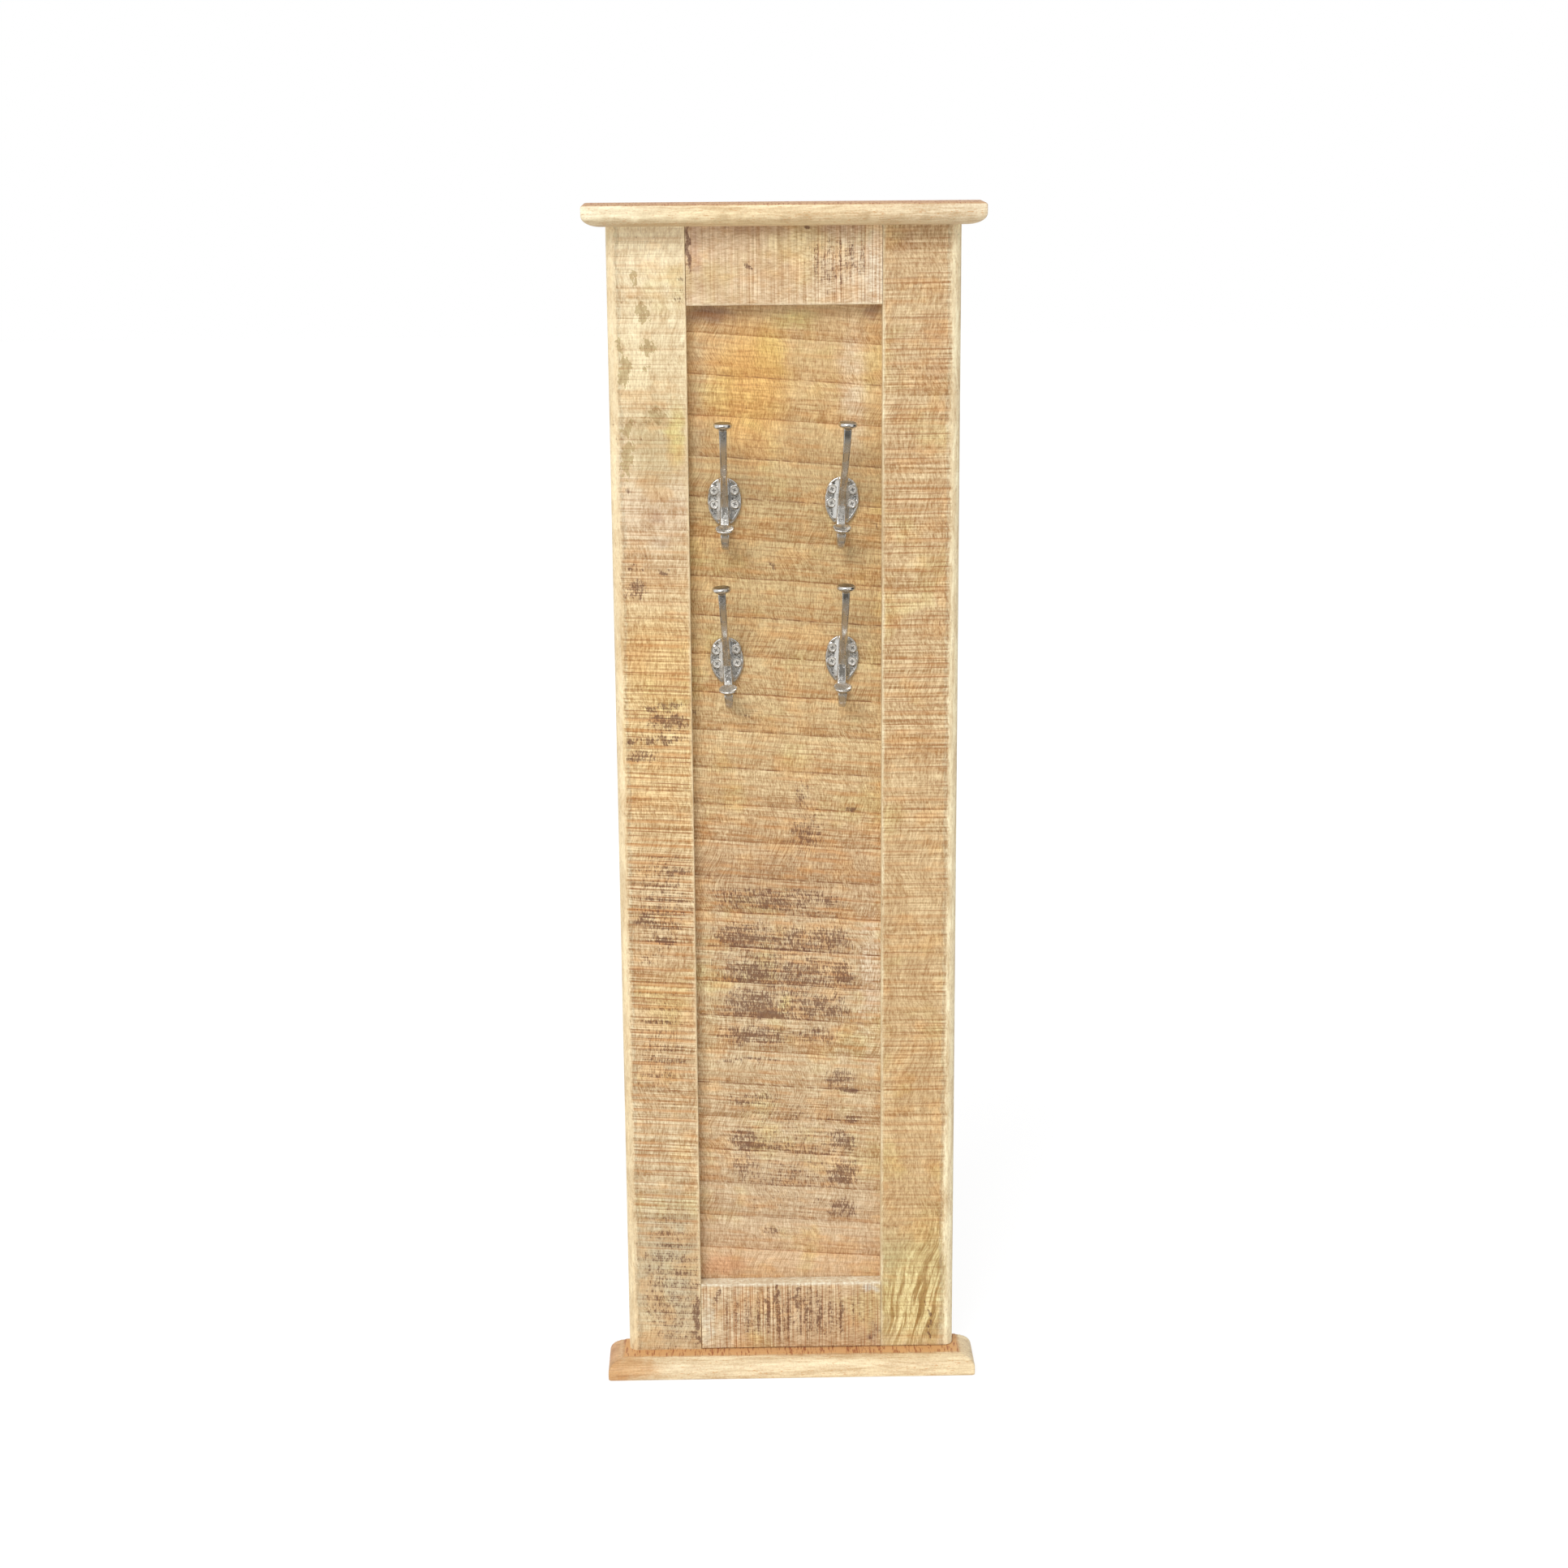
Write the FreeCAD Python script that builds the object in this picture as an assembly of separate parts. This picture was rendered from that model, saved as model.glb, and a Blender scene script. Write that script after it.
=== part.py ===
import FreeCAD, Part
import math
import os

V = FreeCAD.Vector

# Wall-hung coat rack: a framed mango-wood panel with a cornice, a plinth and four cast double hooks.
# X runs to the viewer's right, Y towards the wall, Z up. The wall plane is Y = 0, and the origin lies
# on it, midway between the round entries of the two keyhole hangers.

# Overall sizes, in millimetres
overall_height = 1200.0
hanger_drop = 80.0

# How far a cut runs out past the face that it opens
cut_past = 3.0

# Cornice and plinth, one moulding used both ways up
board_length = 382.0
board_depth = 58.5
board_thickness = 21.0
nosing_reach = 20.0
nosing_height = 11.0
board_arris = 2.5

# Frame
frame_width = 339.0
frame_thickness = 28.5
stile_width = 75.5
top_rail_height = 75.0
bottom_rail_height = 73.0
outer_edge_radius = 9.0
inner_edge_radius = 1.5

# Tenons of the rails in the stiles
tenon_thickness = 10.0
tenon_length = 35.0
tenon_outer_shoulder = 15.0
tenon_inner_shoulder = 4.0
mortise_clearance = 0.2

# Panel and its rebate
panel_thickness = 12.0
panel_setback = 1.0
rebate_overlap = 10.0
panel_side_gap = 1.0
panel_top_gap = 2.0

# Dowels between the frame and the two boards
dowel_radius = 4.0
dowel_length = 40.0
dowel_in_board = 13.0
dowel_clearance = 0.1
dowel_end_gap = 1.0
rail_dowel_spread = 100.0

# Countersunk cross-head screws
screw_clearance = 0.05
screw_rim = 0.3
screw_tip = 3.0
recess_share = 0.62
recess_width = 1.1
recess_depth = 0.9
panel_screw_radius = 1.5
panel_screw_head = 3.0
panel_screw_cover = 5.5
panel_screws_per_side = 5
panel_screw_end_inset = 60.0
hook_screw_radius = 1.75
hook_screw_head = 3.4
hook_screw_cover = 2.5
hanger_screw_radius = 1.5
hanger_screw_head = 2.8
hanger_screw_length = 16.0

# Keyhole hangers in the backs of the stiles
hanger_length = 46.0
hanger_width = 18.0
hanger_thickness = 2.0
hanger_screw_spread = 36.0
hanger_clearance = 0.2
keyhole_radius = 5.0
keyslot_radius = 2.75
keyslot_rise = 11.0
pocket_margin = 1.5
pocket_depth = 9.0

# Hook castings: the back plate
plate_width = 31.0
plate_height = 45.5
plate_waist_width = 29.2
plate_waist_drop = 10.5
plate_foot_width = 13.0
plate_thickness = 3.5
plate_edge = 1.0
plate_rim = 2.2
field_depth = 0.8
rib_width = 12.8
rib_crest_above = 7.4
rib_crest_below = 9.2
rib_rise = 1.9
boss_radius = 4.7
boss_rise = 0.6
screw_column_spread = 20.0
screw_row_upper = 10.4
screw_row_lower = -3.2

# Hook castings: the arms, each station as (out from the panel, up from the plate's middle, width, thickness)
upper_arm = [
    (2.6, -18.0, 7.6, 3.6),
    (5.2, -2.0, 7.4, 5.4),
    (12.0, 12.0, 7.0, 6.0),
    (26.5, 26.5, 6.8, 5.6),
    (40.0, 41.5, 6.8, 5.2),
    (48.8, 58.0, 7.1, 5.2),
    (49.6, 75.0, 7.8, 6.2),
]
lower_arm = [
    (3.0, 8.0, 7.0, 4.4),
    (4.6, -10.0, 8.2, 5.6),
    (7.4, -24.0, 8.8, 5.8),
    (14.5, -37.0, 8.0, 5.4),
    (24.0, -42.2, 7.0, 5.2),
    (32.2, -37.4, 7.8, 5.2),
    (35.0, -27.0, 9.0, 6.0),
]
arm_corner = 1.4

# Hook castings: the knob on the upper arm and the dished button on the lower arm
knob_radius = 9.2
knob_edge = 2.6
knob_crown = 2.9
knob_skirt = 4.6
knob_neck = 3.4
button_radius = 9.3
button_edge = 1.1
button_dish = 0.9
button_skirt = 5.0
button_neck = 4.0
head_overlap = 0.6

# Hooks as hung by hand: name, side of the opening, in from that side, down from its top, lean to the right
hook_places = [
    ("hook_upper_left", -1, 34.5, 189.2, -0.5),
    ("hook_upper_right", 1, 38.9, 189.2, 3.0),
    ("hook_lower_left", -1, 35.0, 347.3, -3.0),
    ("hook_lower_right", 1, 38.9, 346.6, 1.5),
]

# Levels, planes and lengths that follow from those sizes
top = hanger_drop
base = top - overall_height
frame_top = top - board_thickness
frame_bottom = base + board_thickness
opening_top = frame_top - top_rail_height
opening_bottom = frame_bottom + bottom_rail_height
opening_side = frame_width / 2 - stile_width
frame_front = -frame_thickness
frame_middle = -frame_thickness / 2
panel_back = -panel_setback
panel_front = panel_back - panel_thickness
rebate_side = opening_side + rebate_overlap
rebate_top = opening_top + rebate_overlap
rebate_bottom = opening_bottom - rebate_overlap
stile_column = frame_width / 2 - (stile_width - tenon_length) / 2
cornice_dowel_top = frame_top + dowel_in_board
plinth_dowel_top = frame_bottom - dowel_in_board + dowel_length
hook_face = plate_thickness + boss_rise
hook_screw_length = hook_face + panel_thickness - hook_screw_cover
panel_screw_length = frame_thickness - panel_setback - panel_screw_cover


def box(x_low, x_high, y_low, y_high, z_low, z_high):
    return Part.makeBox(x_high - x_low, y_high - y_low, z_high - z_low, V(x_low, y_low, z_low))


def arc(start, middle, end):
    return Part.Arc(start, middle, end).toShape()


def lines(*points):
    return [Part.makeLine(a, b) for a, b in zip(points, points[1:])]


def face_of(edges):
    return Part.Face(Part.Wire(edges))


def revolved(edges):
    """Solid of revolution about Z from a closed outline in the XZ plane."""
    return face_of(edges).revolve(V(0, 0, 0), V(0, 0, 1), 360)


def turned(shape, axis, angle, move=V(0, 0, 0)):
    copy = shape.copy()
    copy.rotate(V(0, 0, 0), axis, angle)
    copy.translate(move)
    return copy


def quarter_round(centre, reach, height):
    """Quarter ellipse from straight below the centre round to its right."""
    half = math.sqrt(0.5)
    circle = arc(V(0, 0, -1), V(half, 0, -half), V(1, 0, 0))
    stretch = FreeCAD.Matrix()
    stretch.scale(reach, 1, height)
    ellipse = circle.transformGeometry(stretch)
    ellipse.translate(centre)
    return ellipse


# Screws

def screw_blank(radius, head, length):
    """Countersunk screw with its head's flat at Z = 0 and its tip at Z = -length."""
    cone_end = -screw_rim - (head - radius)
    return revolved(lines(
        V(0, 0, 0),
        V(head, 0, 0),
        V(head, 0, -screw_rim),
        V(radius, 0, cone_end),
        V(radius, 0, screw_tip - length),
        V(0, 0, -length),
        V(0, 0, 0),
    ))


def screw(radius, head, length):
    reach = head * recess_share
    half = recess_width / 2
    slot = box(-reach, reach, -half, half, -recess_depth, cut_past)
    return screw_blank(radius, head, length).cut(slot.fuse(turned(slot, V(0, 0, 1), 90)))


def screw_hole(radius, head, length):
    room = screw_clearance
    mouth = Part.makeCylinder(head + room, cut_past)
    return screw_blank(radius + room, head + room, length + room).fuse(mouth)


def facing_front(shape, place):
    """Screw or hole turned so that its head faces the viewer, with the head's flat at place."""
    return turned(shape, V(1, 0, 0), 90, place)


def facing_wall(shape, place):
    """Screw or hole turned so that its head faces the wall, with the head's flat at place."""
    return turned(shape, V(1, 0, 0), -90, place)


# Dowels

def dowel_row(dowel_top, radius, end_gap):
    """Four dowels, or their holes, side by side across a joint of the frame."""
    low = dowel_top - dowel_length - end_gap
    length = dowel_length + 2 * end_gap
    columns = [-stile_column, -rail_dowel_spread / 2, rail_dowel_spread / 2, stile_column]
    return [Part.makeCylinder(radius, length, V(x, frame_middle, low)) for x in columns]


def cornice_dowels():
    return dowel_row(cornice_dowel_top, dowel_radius, 0)


def plinth_dowels():
    return dowel_row(plinth_dowel_top, dowel_radius, 0)


def dowel_holes():
    radius = dowel_radius + dowel_clearance
    upper = dowel_row(cornice_dowel_top, radius, dowel_end_gap)
    lower = dowel_row(plinth_dowel_top, radius, dowel_end_gap)
    return upper + lower


# Cornice and plinth

def edge_wastes(across):
    """What the cutters take off an edge that lies at X = 0: the round below it and the eased arris above."""
    low = nosing_height
    high = board_thickness - board_arris
    ease = board_arris * (1 - math.sqrt(0.5))
    below = [quarter_round(V(-nosing_reach, 0, low), nosing_reach, low)]
    below += lines(
        V(0, 0, low),
        V(cut_past, 0, low),
        V(cut_past, 0, -cut_past),
        V(-nosing_reach, 0, -cut_past),
        V(-nosing_reach, 0, 0),
    )
    above = [arc(V(-board_arris, 0, board_thickness), V(-ease, 0, board_thickness - ease), V(0, 0, high))]
    above += lines(
        V(0, 0, high),
        V(cut_past, 0, high),
        V(cut_past, 0, board_thickness + cut_past),
        V(-board_arris, 0, board_thickness + cut_past),
        V(-board_arris, 0, board_thickness),
    )
    return [face_of(edges).extrude(V(0, across, 0)) for edges in (below, above)]


def moulded_board():
    """Board with its back on the wall plane and its underside at Z = 0, nosed at the front and both ends."""
    half = board_length / 2
    blank = box(-half, half, -board_depth, 0, 0, board_thickness)
    wastes = []
    for waste in edge_wastes(board_depth + 2 * cut_past):
        waste.translate(V(half, -board_depth - cut_past, 0))
        wastes += [waste, waste.mirror(V(0, 0, 0), V(1, 0, 0))]
    for waste in edge_wastes(board_length + 2 * cut_past):
        wastes.append(turned(waste, V(0, 0, 1), -90, V(-half - cut_past, -board_depth, 0)))
    return blank.cut(wastes)


def cornice():
    board = moulded_board()
    board.translate(V(0, 0, frame_top))
    return board.cut(dowel_holes())


def plinth():
    board = turned(moulded_board(), V(0, 1, 0), 180, V(0, 0, frame_bottom))
    return board.cut(dowel_holes())


# Panel

def panel_screw_places():
    """Middle of the panel's border all round, where it lies in the rebate."""
    side = opening_side + (rebate_overlap - panel_side_gap) / 2
    low = opening_bottom + panel_screw_end_inset
    high = opening_top - panel_screw_end_inset
    step = (high - low) / (panel_screws_per_side - 1)
    rows = [low + row * step for row in range(panel_screws_per_side)]
    places = [V(sign * side, panel_back, z) for sign in (-1, 1) for z in rows]
    places.append(V(0, panel_back, opening_top + (rebate_overlap - panel_top_gap) / 2))
    places.append(V(0, panel_back, opening_bottom - rebate_overlap / 2))
    return places


def panel_screws():
    one = screw(panel_screw_radius, panel_screw_head, panel_screw_length)
    return [facing_wall(one, place) for place in panel_screw_places()]


def panel_screw_holes():
    one = screw_hole(panel_screw_radius, panel_screw_head, panel_screw_length)
    return [facing_wall(one, place) for place in panel_screw_places()]


def back_panel():
    side = rebate_side - panel_side_gap
    board = box(-side, side, panel_front, panel_back, rebate_bottom, rebate_top - panel_top_gap)
    return board.cut(panel_screw_holes() + hook_screw_holes())


# Frame

def tenon_span(rail_bottom, rail_top, rebate_below):
    """Lower and upper edge of a rail's tenon, clear of the rebate along the rail's inner edge."""
    inner = rebate_overlap + tenon_inner_shoulder
    if rebate_below:
        return rail_bottom + inner, rail_top - tenon_outer_shoulder
    return rail_bottom + tenon_outer_shoulder, rail_top - inner


def tenon(side, span, room):
    """Tenon of one rail end, or its mortise with room all round."""
    half = tenon_thickness / 2 + room
    near = opening_side
    far = opening_side + tenon_length + room
    block = box(near, far, frame_middle - half, frame_middle + half, span[0] - room, span[1] + room)
    return block if side > 0 else turned(block, V(0, 0, 1), 180, V(0, 2 * frame_middle, 0))


def rail(rail_bottom, rail_top, rebate_below):
    inner = rail_bottom if rebate_below else rail_top
    board = box(-opening_side, opening_side, frame_front, 0, rail_bottom, rail_top)
    arris = [e for e in board.Edges if edge_runs_through(e, V(0, frame_front, inner))]
    board = board.makeFillet(inner_edge_radius, arris)
    span = tenon_span(rail_bottom, rail_top, rebate_below)
    board = board.fuse([tenon(-1, span, 0), tenon(1, span, 0)])
    return board.cut([rebate()] + dowel_holes() + panel_screw_holes())


def edge_runs_through(edge, point):
    return edge.distToShape(Part.Vertex(point))[0] < 1e-6


def top_rail():
    return rail(opening_top, frame_top, True)


def bottom_rail():
    return rail(frame_bottom, opening_bottom, False)


def rebate():
    return box(-rebate_side, rebate_side, panel_front, cut_past, rebate_bottom, rebate_top)


def stile(side):
    """Upright with its outer front edge well rounded, built on the right and turned over for the left."""
    outer = frame_width / 2
    board = box(opening_side, outer, frame_front, 0, frame_bottom, frame_top)
    middle = (frame_top + frame_bottom) / 2
    round_edge = [e for e in board.Edges if edge_runs_through(e, V(outer, frame_front, middle))]
    board = board.makeFillet(outer_edge_radius, round_edge)
    arris = [e for e in board.Edges if edge_runs_through(e, V(opening_side, frame_front, middle))]
    board = board.makeFillet(inner_edge_radius, arris)
    if side < 0:
        board = board.mirror(V(0, 0, 0), V(1, 0, 0))
    spans = [tenon_span(opening_top, frame_top, True), tenon_span(frame_bottom, opening_bottom, False)]
    mortises = [tenon(side, span, mortise_clearance) for span in spans]
    cuts = mortises + [rebate(), hanger_pocket(side)] + dowel_holes() + panel_screw_holes()
    return board.cut(cuts + hanger_screw_holes(side))


# Keyhole hangers

def upright_slot(radius, low, high, y_front, y_back):
    """Slot with round ends whose end centres lie at the heights low and high, on X = 0."""
    edges = lines(V(-radius, y_back, low), V(-radius, y_back, high))
    edges.append(arc(V(-radius, y_back, high), V(0, y_back, high + radius), V(radius, y_back, high)))
    edges += lines(V(radius, y_back, high), V(radius, y_back, low))
    edges.append(arc(V(radius, y_back, low), V(0, y_back, low - radius), V(-radius, y_back, low)))
    return face_of(edges).extrude(V(0, y_front - y_back, 0))


def hanger_blank(room):
    """Plate outline, or its seat with room all round, centred on the keyhole's length."""
    radius = hanger_width / 2
    middle = keyslot_rise / 2
    half = hanger_length / 2 - radius
    return upright_slot(radius + room, middle - half, middle + half, -hanger_thickness, 0)


def hanger_screw_places(side):
    middle = keyslot_rise / 2
    half = hanger_screw_spread / 2
    return [V(side * stile_column, 0, middle + sign * half) for sign in (-1, 1)]


def hanger_plate(side):
    depth = hanger_thickness + 2 * cut_past
    entry = Part.makeCylinder(keyhole_radius, depth, V(0, cut_past, 0), V(0, -1, 0))
    slot = upright_slot(keyslot_radius, 0, keyslot_rise, -hanger_thickness - cut_past, cut_past)
    plate = hanger_blank(0).cut(entry.fuse(slot))
    plate.translate(V(side * stile_column, 0, 0))
    return plate.cut(hanger_screw_holes(side))


def hanger_pocket(side):
    """Seat for the plate, and behind it the room for a wall screw's head."""
    floor = -hanger_thickness - pocket_depth
    room = upright_slot(keyhole_radius + pocket_margin, 0, keyslot_rise, floor, 0)
    pocket = hanger_blank(hanger_clearance).fuse(room)
    pocket.translate(V(side * stile_column, 0, 0))
    return pocket


def hanger_screws():
    one = screw(hanger_screw_radius, hanger_screw_head, hanger_screw_length)
    return [facing_wall(one, place) for side in (-1, 1) for place in hanger_screw_places(side)]


def hanger_screw_holes(side):
    one = screw_hole(hanger_screw_radius, hanger_screw_head, hanger_screw_length)
    return [facing_wall(one, place) for place in hanger_screw_places(side)]


# Hooks, each built upright with its plate's back on Y = 0 and its middle at the origin

def plate_outline(inset):
    """Acorn shape, round above and drawn in to a narrow foot below, drawn inset from the plate's edge."""
    half = plate_width / 2 - inset
    foot = plate_foot_width / 2 - inset
    crown = plate_height / 2 - inset
    shoulder = crown - half
    waist = plate_waist_width / 2 - inset
    edges = [
        arc(V(-half, 0, shoulder), V(0, 0, crown), V(half, 0, shoulder)),
        arc(V(half, 0, shoulder), V(waist, 0, -plate_waist_drop), V(foot, 0, -crown)),
        arc(V(-foot, 0, -crown), V(-waist, 0, -plate_waist_drop), V(-half, 0, shoulder)),
    ]
    return face_of([edges[0], edges[1]] + lines(V(foot, 0, -crown), V(-foot, 0, -crown)) + [edges[2]])


def rib_section(crest_width, level):
    """Section of the rib at one level: a flat crest, and flanks that spread down into the plate."""
    crest = -plate_thickness - rib_rise
    root = -plate_thickness / 2
    return Part.makePolygon([
        V(-rib_width / 2, root, level),
        V(-crest_width / 2, crest, level),
        V(crest_width / 2, crest, level),
        V(rib_width / 2, root, level),
        V(-rib_width / 2, root, level),
    ])


def hook_plate():
    """Plate with a raised rim round a sunk field, from which the rib and the screw bosses stand."""
    outline = plate_outline(0)
    plate = outline.extrude(V(0, -plate_thickness, 0))
    rim = [e for e in plate.Edges if all(abs(v.Y + plate_thickness) < 1e-6 for v in e.Vertexes)]
    plate = plate.makeFillet(plate_edge, rim)
    field = plate_outline(plate_rim).extrude(V(0, -field_depth - cut_past, 0))
    field.translate(V(0, field_depth - plate_thickness, 0))
    plate = plate.cut(field)
    rib = Part.makeLoft([
        rib_section(rib_crest_below, -plate_height / 2),
        rib_section(rib_crest_above, plate_height / 2),
    ], True, True)
    rib = rib.common(plate_outline(plate_edge / 2).extrude(V(0, -plate_thickness - rib_rise, 0)))
    bosses = [Part.makeCylinder(boss_radius, hook_face, V(s.x, 0, s.z), V(0, -1, 0)) for s in hook_screw_spots()]
    return plate.fuse([rib] + bosses)


def hook_screw_spots():
    half = screw_column_spread / 2
    rows = (screw_row_upper, screw_row_lower)
    return [V(sign * half, -hook_face, row) for sign in (-1, 1) for row in rows]


def arm_direction(stations, index):
    before = stations[max(index - 1, 0)]
    after = stations[min(index + 1, len(stations) - 1)]
    return V(0, before[0] - after[0], after[1] - before[1]).normalize()


def square_to(along):
    """Rotation that carries Z onto the arm's direction and keeps X across the hook."""
    across = V(1, 0, 0)
    return FreeCAD.Rotation(across, along.cross(across), along)


def bar_section(width, thickness):
    """Outline of a flat bar with rounded corners, its flat face across X."""
    slant = arm_corner * math.sqrt(0.5)
    bends = []
    for side, face in ((1, 1), (-1, 1), (-1, -1), (1, -1)):
        centre = V(side * (width / 2 - arm_corner), face * (thickness / 2 - arm_corner), 0)
        ends = [centre + V(side * arm_corner, 0, 0), centre + V(0, face * arm_corner, 0)]
        if side * face < 0:
            ends.reverse()
        bends.append(arc(ends[0], centre + V(side * slant, face * slant, 0), ends[1]))
    outline = []
    for bend, following in zip(bends, bends[1:] + bends[:1]):
        outline += [bend] + lines(bend.Vertexes[-1].Point, following.Vertexes[0].Point)
    return Part.Wire(outline)


def arm(stations):
    """Flat bar that tapers smoothly through sections square to the arm."""
    sections = []
    for index, (out, up, width, thickness) in enumerate(stations):
        section = bar_section(width, thickness)
        section.Placement = FreeCAD.Placement(V(0, -out, up), square_to(arm_direction(stations, index)))
        sections.append(section)
    return Part.makeLoft(sections, True, False)


def arm_head(stations, radius, edge, crown, skirt, neck):
    """Turned head on an arm's end: a rounded rim, a domed or dished face, and a cone down to the neck."""
    shoulder = radius - edge
    bulge = crown - (crown - edge) / 4
    edges = [
        arc(V(0, 0, crown), V(shoulder / 2, 0, bulge), V(shoulder, 0, edge)),
        arc(V(shoulder, 0, edge), V(radius, 0, 0), V(shoulder, 0, -edge)),
    ]
    edges += lines(V(shoulder, 0, -edge), V(neck, 0, -skirt), V(0, 0, -skirt), V(0, 0, crown))
    head = revolved(edges)
    out, up = stations[-1][:2]
    along = arm_direction(stations, len(stations) - 1)
    head.Placement = FreeCAD.Placement(V(0, -out, up) + along * (skirt - head_overlap), square_to(along))
    return head


def hook():
    knob = arm_head(upper_arm, knob_radius, knob_edge, knob_crown, knob_skirt, knob_neck)
    button = arm_head(lower_arm, button_radius, button_edge, -button_dish, button_skirt, button_neck)
    casting = hook_plate().fuse([arm(upper_arm), arm(lower_arm), knob, button])
    hole = screw_hole(hook_screw_radius, hook_screw_head, hook_screw_length)
    return casting.cut([facing_front(hole, spot) for spot in hook_screw_spots()])


def hung(shape, place):
    """Shape of one hook moved to its place on the panel."""
    name, side, inset, drop, lean = place
    spot = V(side * (opening_side - inset), panel_front, opening_top - drop)
    return turned(shape, V(0, 1, 0), lean, spot)


def on_every_hook(shape):
    upright = [facing_front(shape, spot) for spot in hook_screw_spots()]
    return [hung(one, place) for place in hook_places for one in upright]


def hook_screws():
    return on_every_hook(screw(hook_screw_radius, hook_screw_head, hook_screw_length))


def hook_screw_holes():
    return on_every_hook(screw_hole(hook_screw_radius, hook_screw_head, hook_screw_length))


def save(name, shape):
    if isinstance(shape, list):
        shape = Part.makeCompound(shape)
    shape.exportStep(os.path.join("parts", name + ".step"))


os.makedirs("parts", exist_ok=True)
save("left_stile", stile(-1))
save("right_stile", stile(1))
save("top_rail", top_rail())
save("bottom_rail", bottom_rail())
save("back_panel", back_panel())
save("panel_screws", panel_screws())
save("cornice", cornice())
save("cornice_dowels", cornice_dowels())
save("plinth", plinth())
save("plinth_dowels", plinth_dowels())
save("hanger_plate_left", hanger_plate(-1))
save("hanger_plate_right", hanger_plate(1))
save("hanger_screws", hanger_screws())
one_hook = hook()
for hook_place in hook_places:
    save(hook_place[0], hung(one_hook, hook_place))
save("hook_screws", hook_screws())
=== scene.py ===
import math

import bmesh
import bpy
import numpy as np
from mathutils import Matrix, Vector


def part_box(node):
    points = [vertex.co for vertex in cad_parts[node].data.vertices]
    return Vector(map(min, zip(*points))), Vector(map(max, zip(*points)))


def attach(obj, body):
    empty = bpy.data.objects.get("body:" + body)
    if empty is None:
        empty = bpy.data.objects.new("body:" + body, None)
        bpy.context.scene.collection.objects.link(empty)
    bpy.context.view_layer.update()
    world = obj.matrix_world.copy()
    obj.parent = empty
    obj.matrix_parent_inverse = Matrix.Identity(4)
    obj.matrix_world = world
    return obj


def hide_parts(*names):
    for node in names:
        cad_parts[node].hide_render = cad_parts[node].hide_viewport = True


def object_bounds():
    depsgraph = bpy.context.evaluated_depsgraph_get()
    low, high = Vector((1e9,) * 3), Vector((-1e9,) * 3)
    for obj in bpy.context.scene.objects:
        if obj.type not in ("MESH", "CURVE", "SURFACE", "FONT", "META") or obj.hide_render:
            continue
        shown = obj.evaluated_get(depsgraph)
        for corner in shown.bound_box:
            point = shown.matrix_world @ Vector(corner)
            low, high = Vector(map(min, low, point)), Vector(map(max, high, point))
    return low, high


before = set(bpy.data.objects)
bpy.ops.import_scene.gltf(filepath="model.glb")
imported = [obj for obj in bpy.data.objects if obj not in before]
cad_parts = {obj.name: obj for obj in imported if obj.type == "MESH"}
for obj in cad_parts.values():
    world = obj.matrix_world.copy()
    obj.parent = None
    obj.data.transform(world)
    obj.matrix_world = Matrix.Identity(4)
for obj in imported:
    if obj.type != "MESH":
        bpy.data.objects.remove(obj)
cad_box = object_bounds()

# Stiles: the two uprights of the frame, mango wood sawn to about 75 by 28 mm and left rough on the face.
# The band saw left a small step at every stroke. The outer edge is sanded round, the inner one just broken.
# The rails' tenons are glued into their inner sides, and the cornice and plinth are dowelled to their ends.

millimetre = 0.001


def corners(node):
    """Lowest and highest corner of a node, in millimetres."""
    return [np.array(corner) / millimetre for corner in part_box(node)]


def tone(red, green, blue):
    """A colour as a screen shows it, each part from 0 to 255, as the light that a surface gives back."""
    return np.power(np.array([red, green, blue]) / 255, 2.2)


def ripple(where, spacing, seed):
    """Smooth seeded noise between -1 and 1 along a line, with a knot at every spacing."""
    place = np.asarray(where, float) / spacing
    first = math.floor(place.min())
    last = math.floor(place.max())
    knots = np.random.default_rng(seed).uniform(-1, 1, last - first + 2)
    index = np.floor(place).astype(int)
    share = place - index
    share = share * share * (3 - 2 * share)
    return knots[index - first] * (1 - share) + knots[index - first + 1] * share


def sunk(stroke, step, seed):
    """Depth of a sawn face behind the board's front: each stroke starts proud and sinks to a ledge."""
    least = 0.06
    index = np.floor(stroke).astype(int)
    bites = np.random.default_rng(seed).uniform(0.5, 1.0, index.max() - index.min() + 1)
    return least + step * bites[index - index.min()] * (stroke - index)


def stroke_rows(first, last, phases):
    """Counts of saw strokes, from first to last, at which a face has a row of points."""
    whole = np.arange(math.floor(first), math.ceil(last) + 1)
    return np.sort((whole[:, None] + np.array(phases)[None, :]).ravel())


def blank_from_face(name, face, back):
    """Closed blank from a grid of points on its front, with walls from the grid's rim to a flat back."""
    rows, columns = face.shape[:2]
    grid = np.arange(rows * columns).reshape(rows, columns)
    rim = np.concatenate([grid[0, :-1], grid[:-1, -1], grid[-1, :0:-1], grid[:0:-1, 0]])
    points = face.reshape(-1, 3)
    behind = points[rim].copy()
    behind[:, 1] = back
    middle = behind.mean(axis=0)
    points = np.vstack([points, behind, middle]) * millimetre
    ring = rows * columns + np.arange(len(rim))
    quads = [grid[:-1, :-1], grid[:-1, 1:], grid[1:, 1:], grid[1:, :-1]]
    faces = np.stack(quads, axis=-1).reshape(-1, 4).tolist()
    faces += np.stack([np.roll(rim, -1), rim, ring, np.roll(ring, -1)], axis=-1).tolist()
    faces += [[int(a), int(b), len(points) - 1] for a, b in zip(np.roll(ring, -1), ring)]
    rough = bpy.data.meshes.new(name + "_rough")
    rough.from_pydata(points.tolist(), [], faces)
    blank = closed_copy(rough, name)
    bpy.data.meshes.remove(rough)
    return blank


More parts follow.
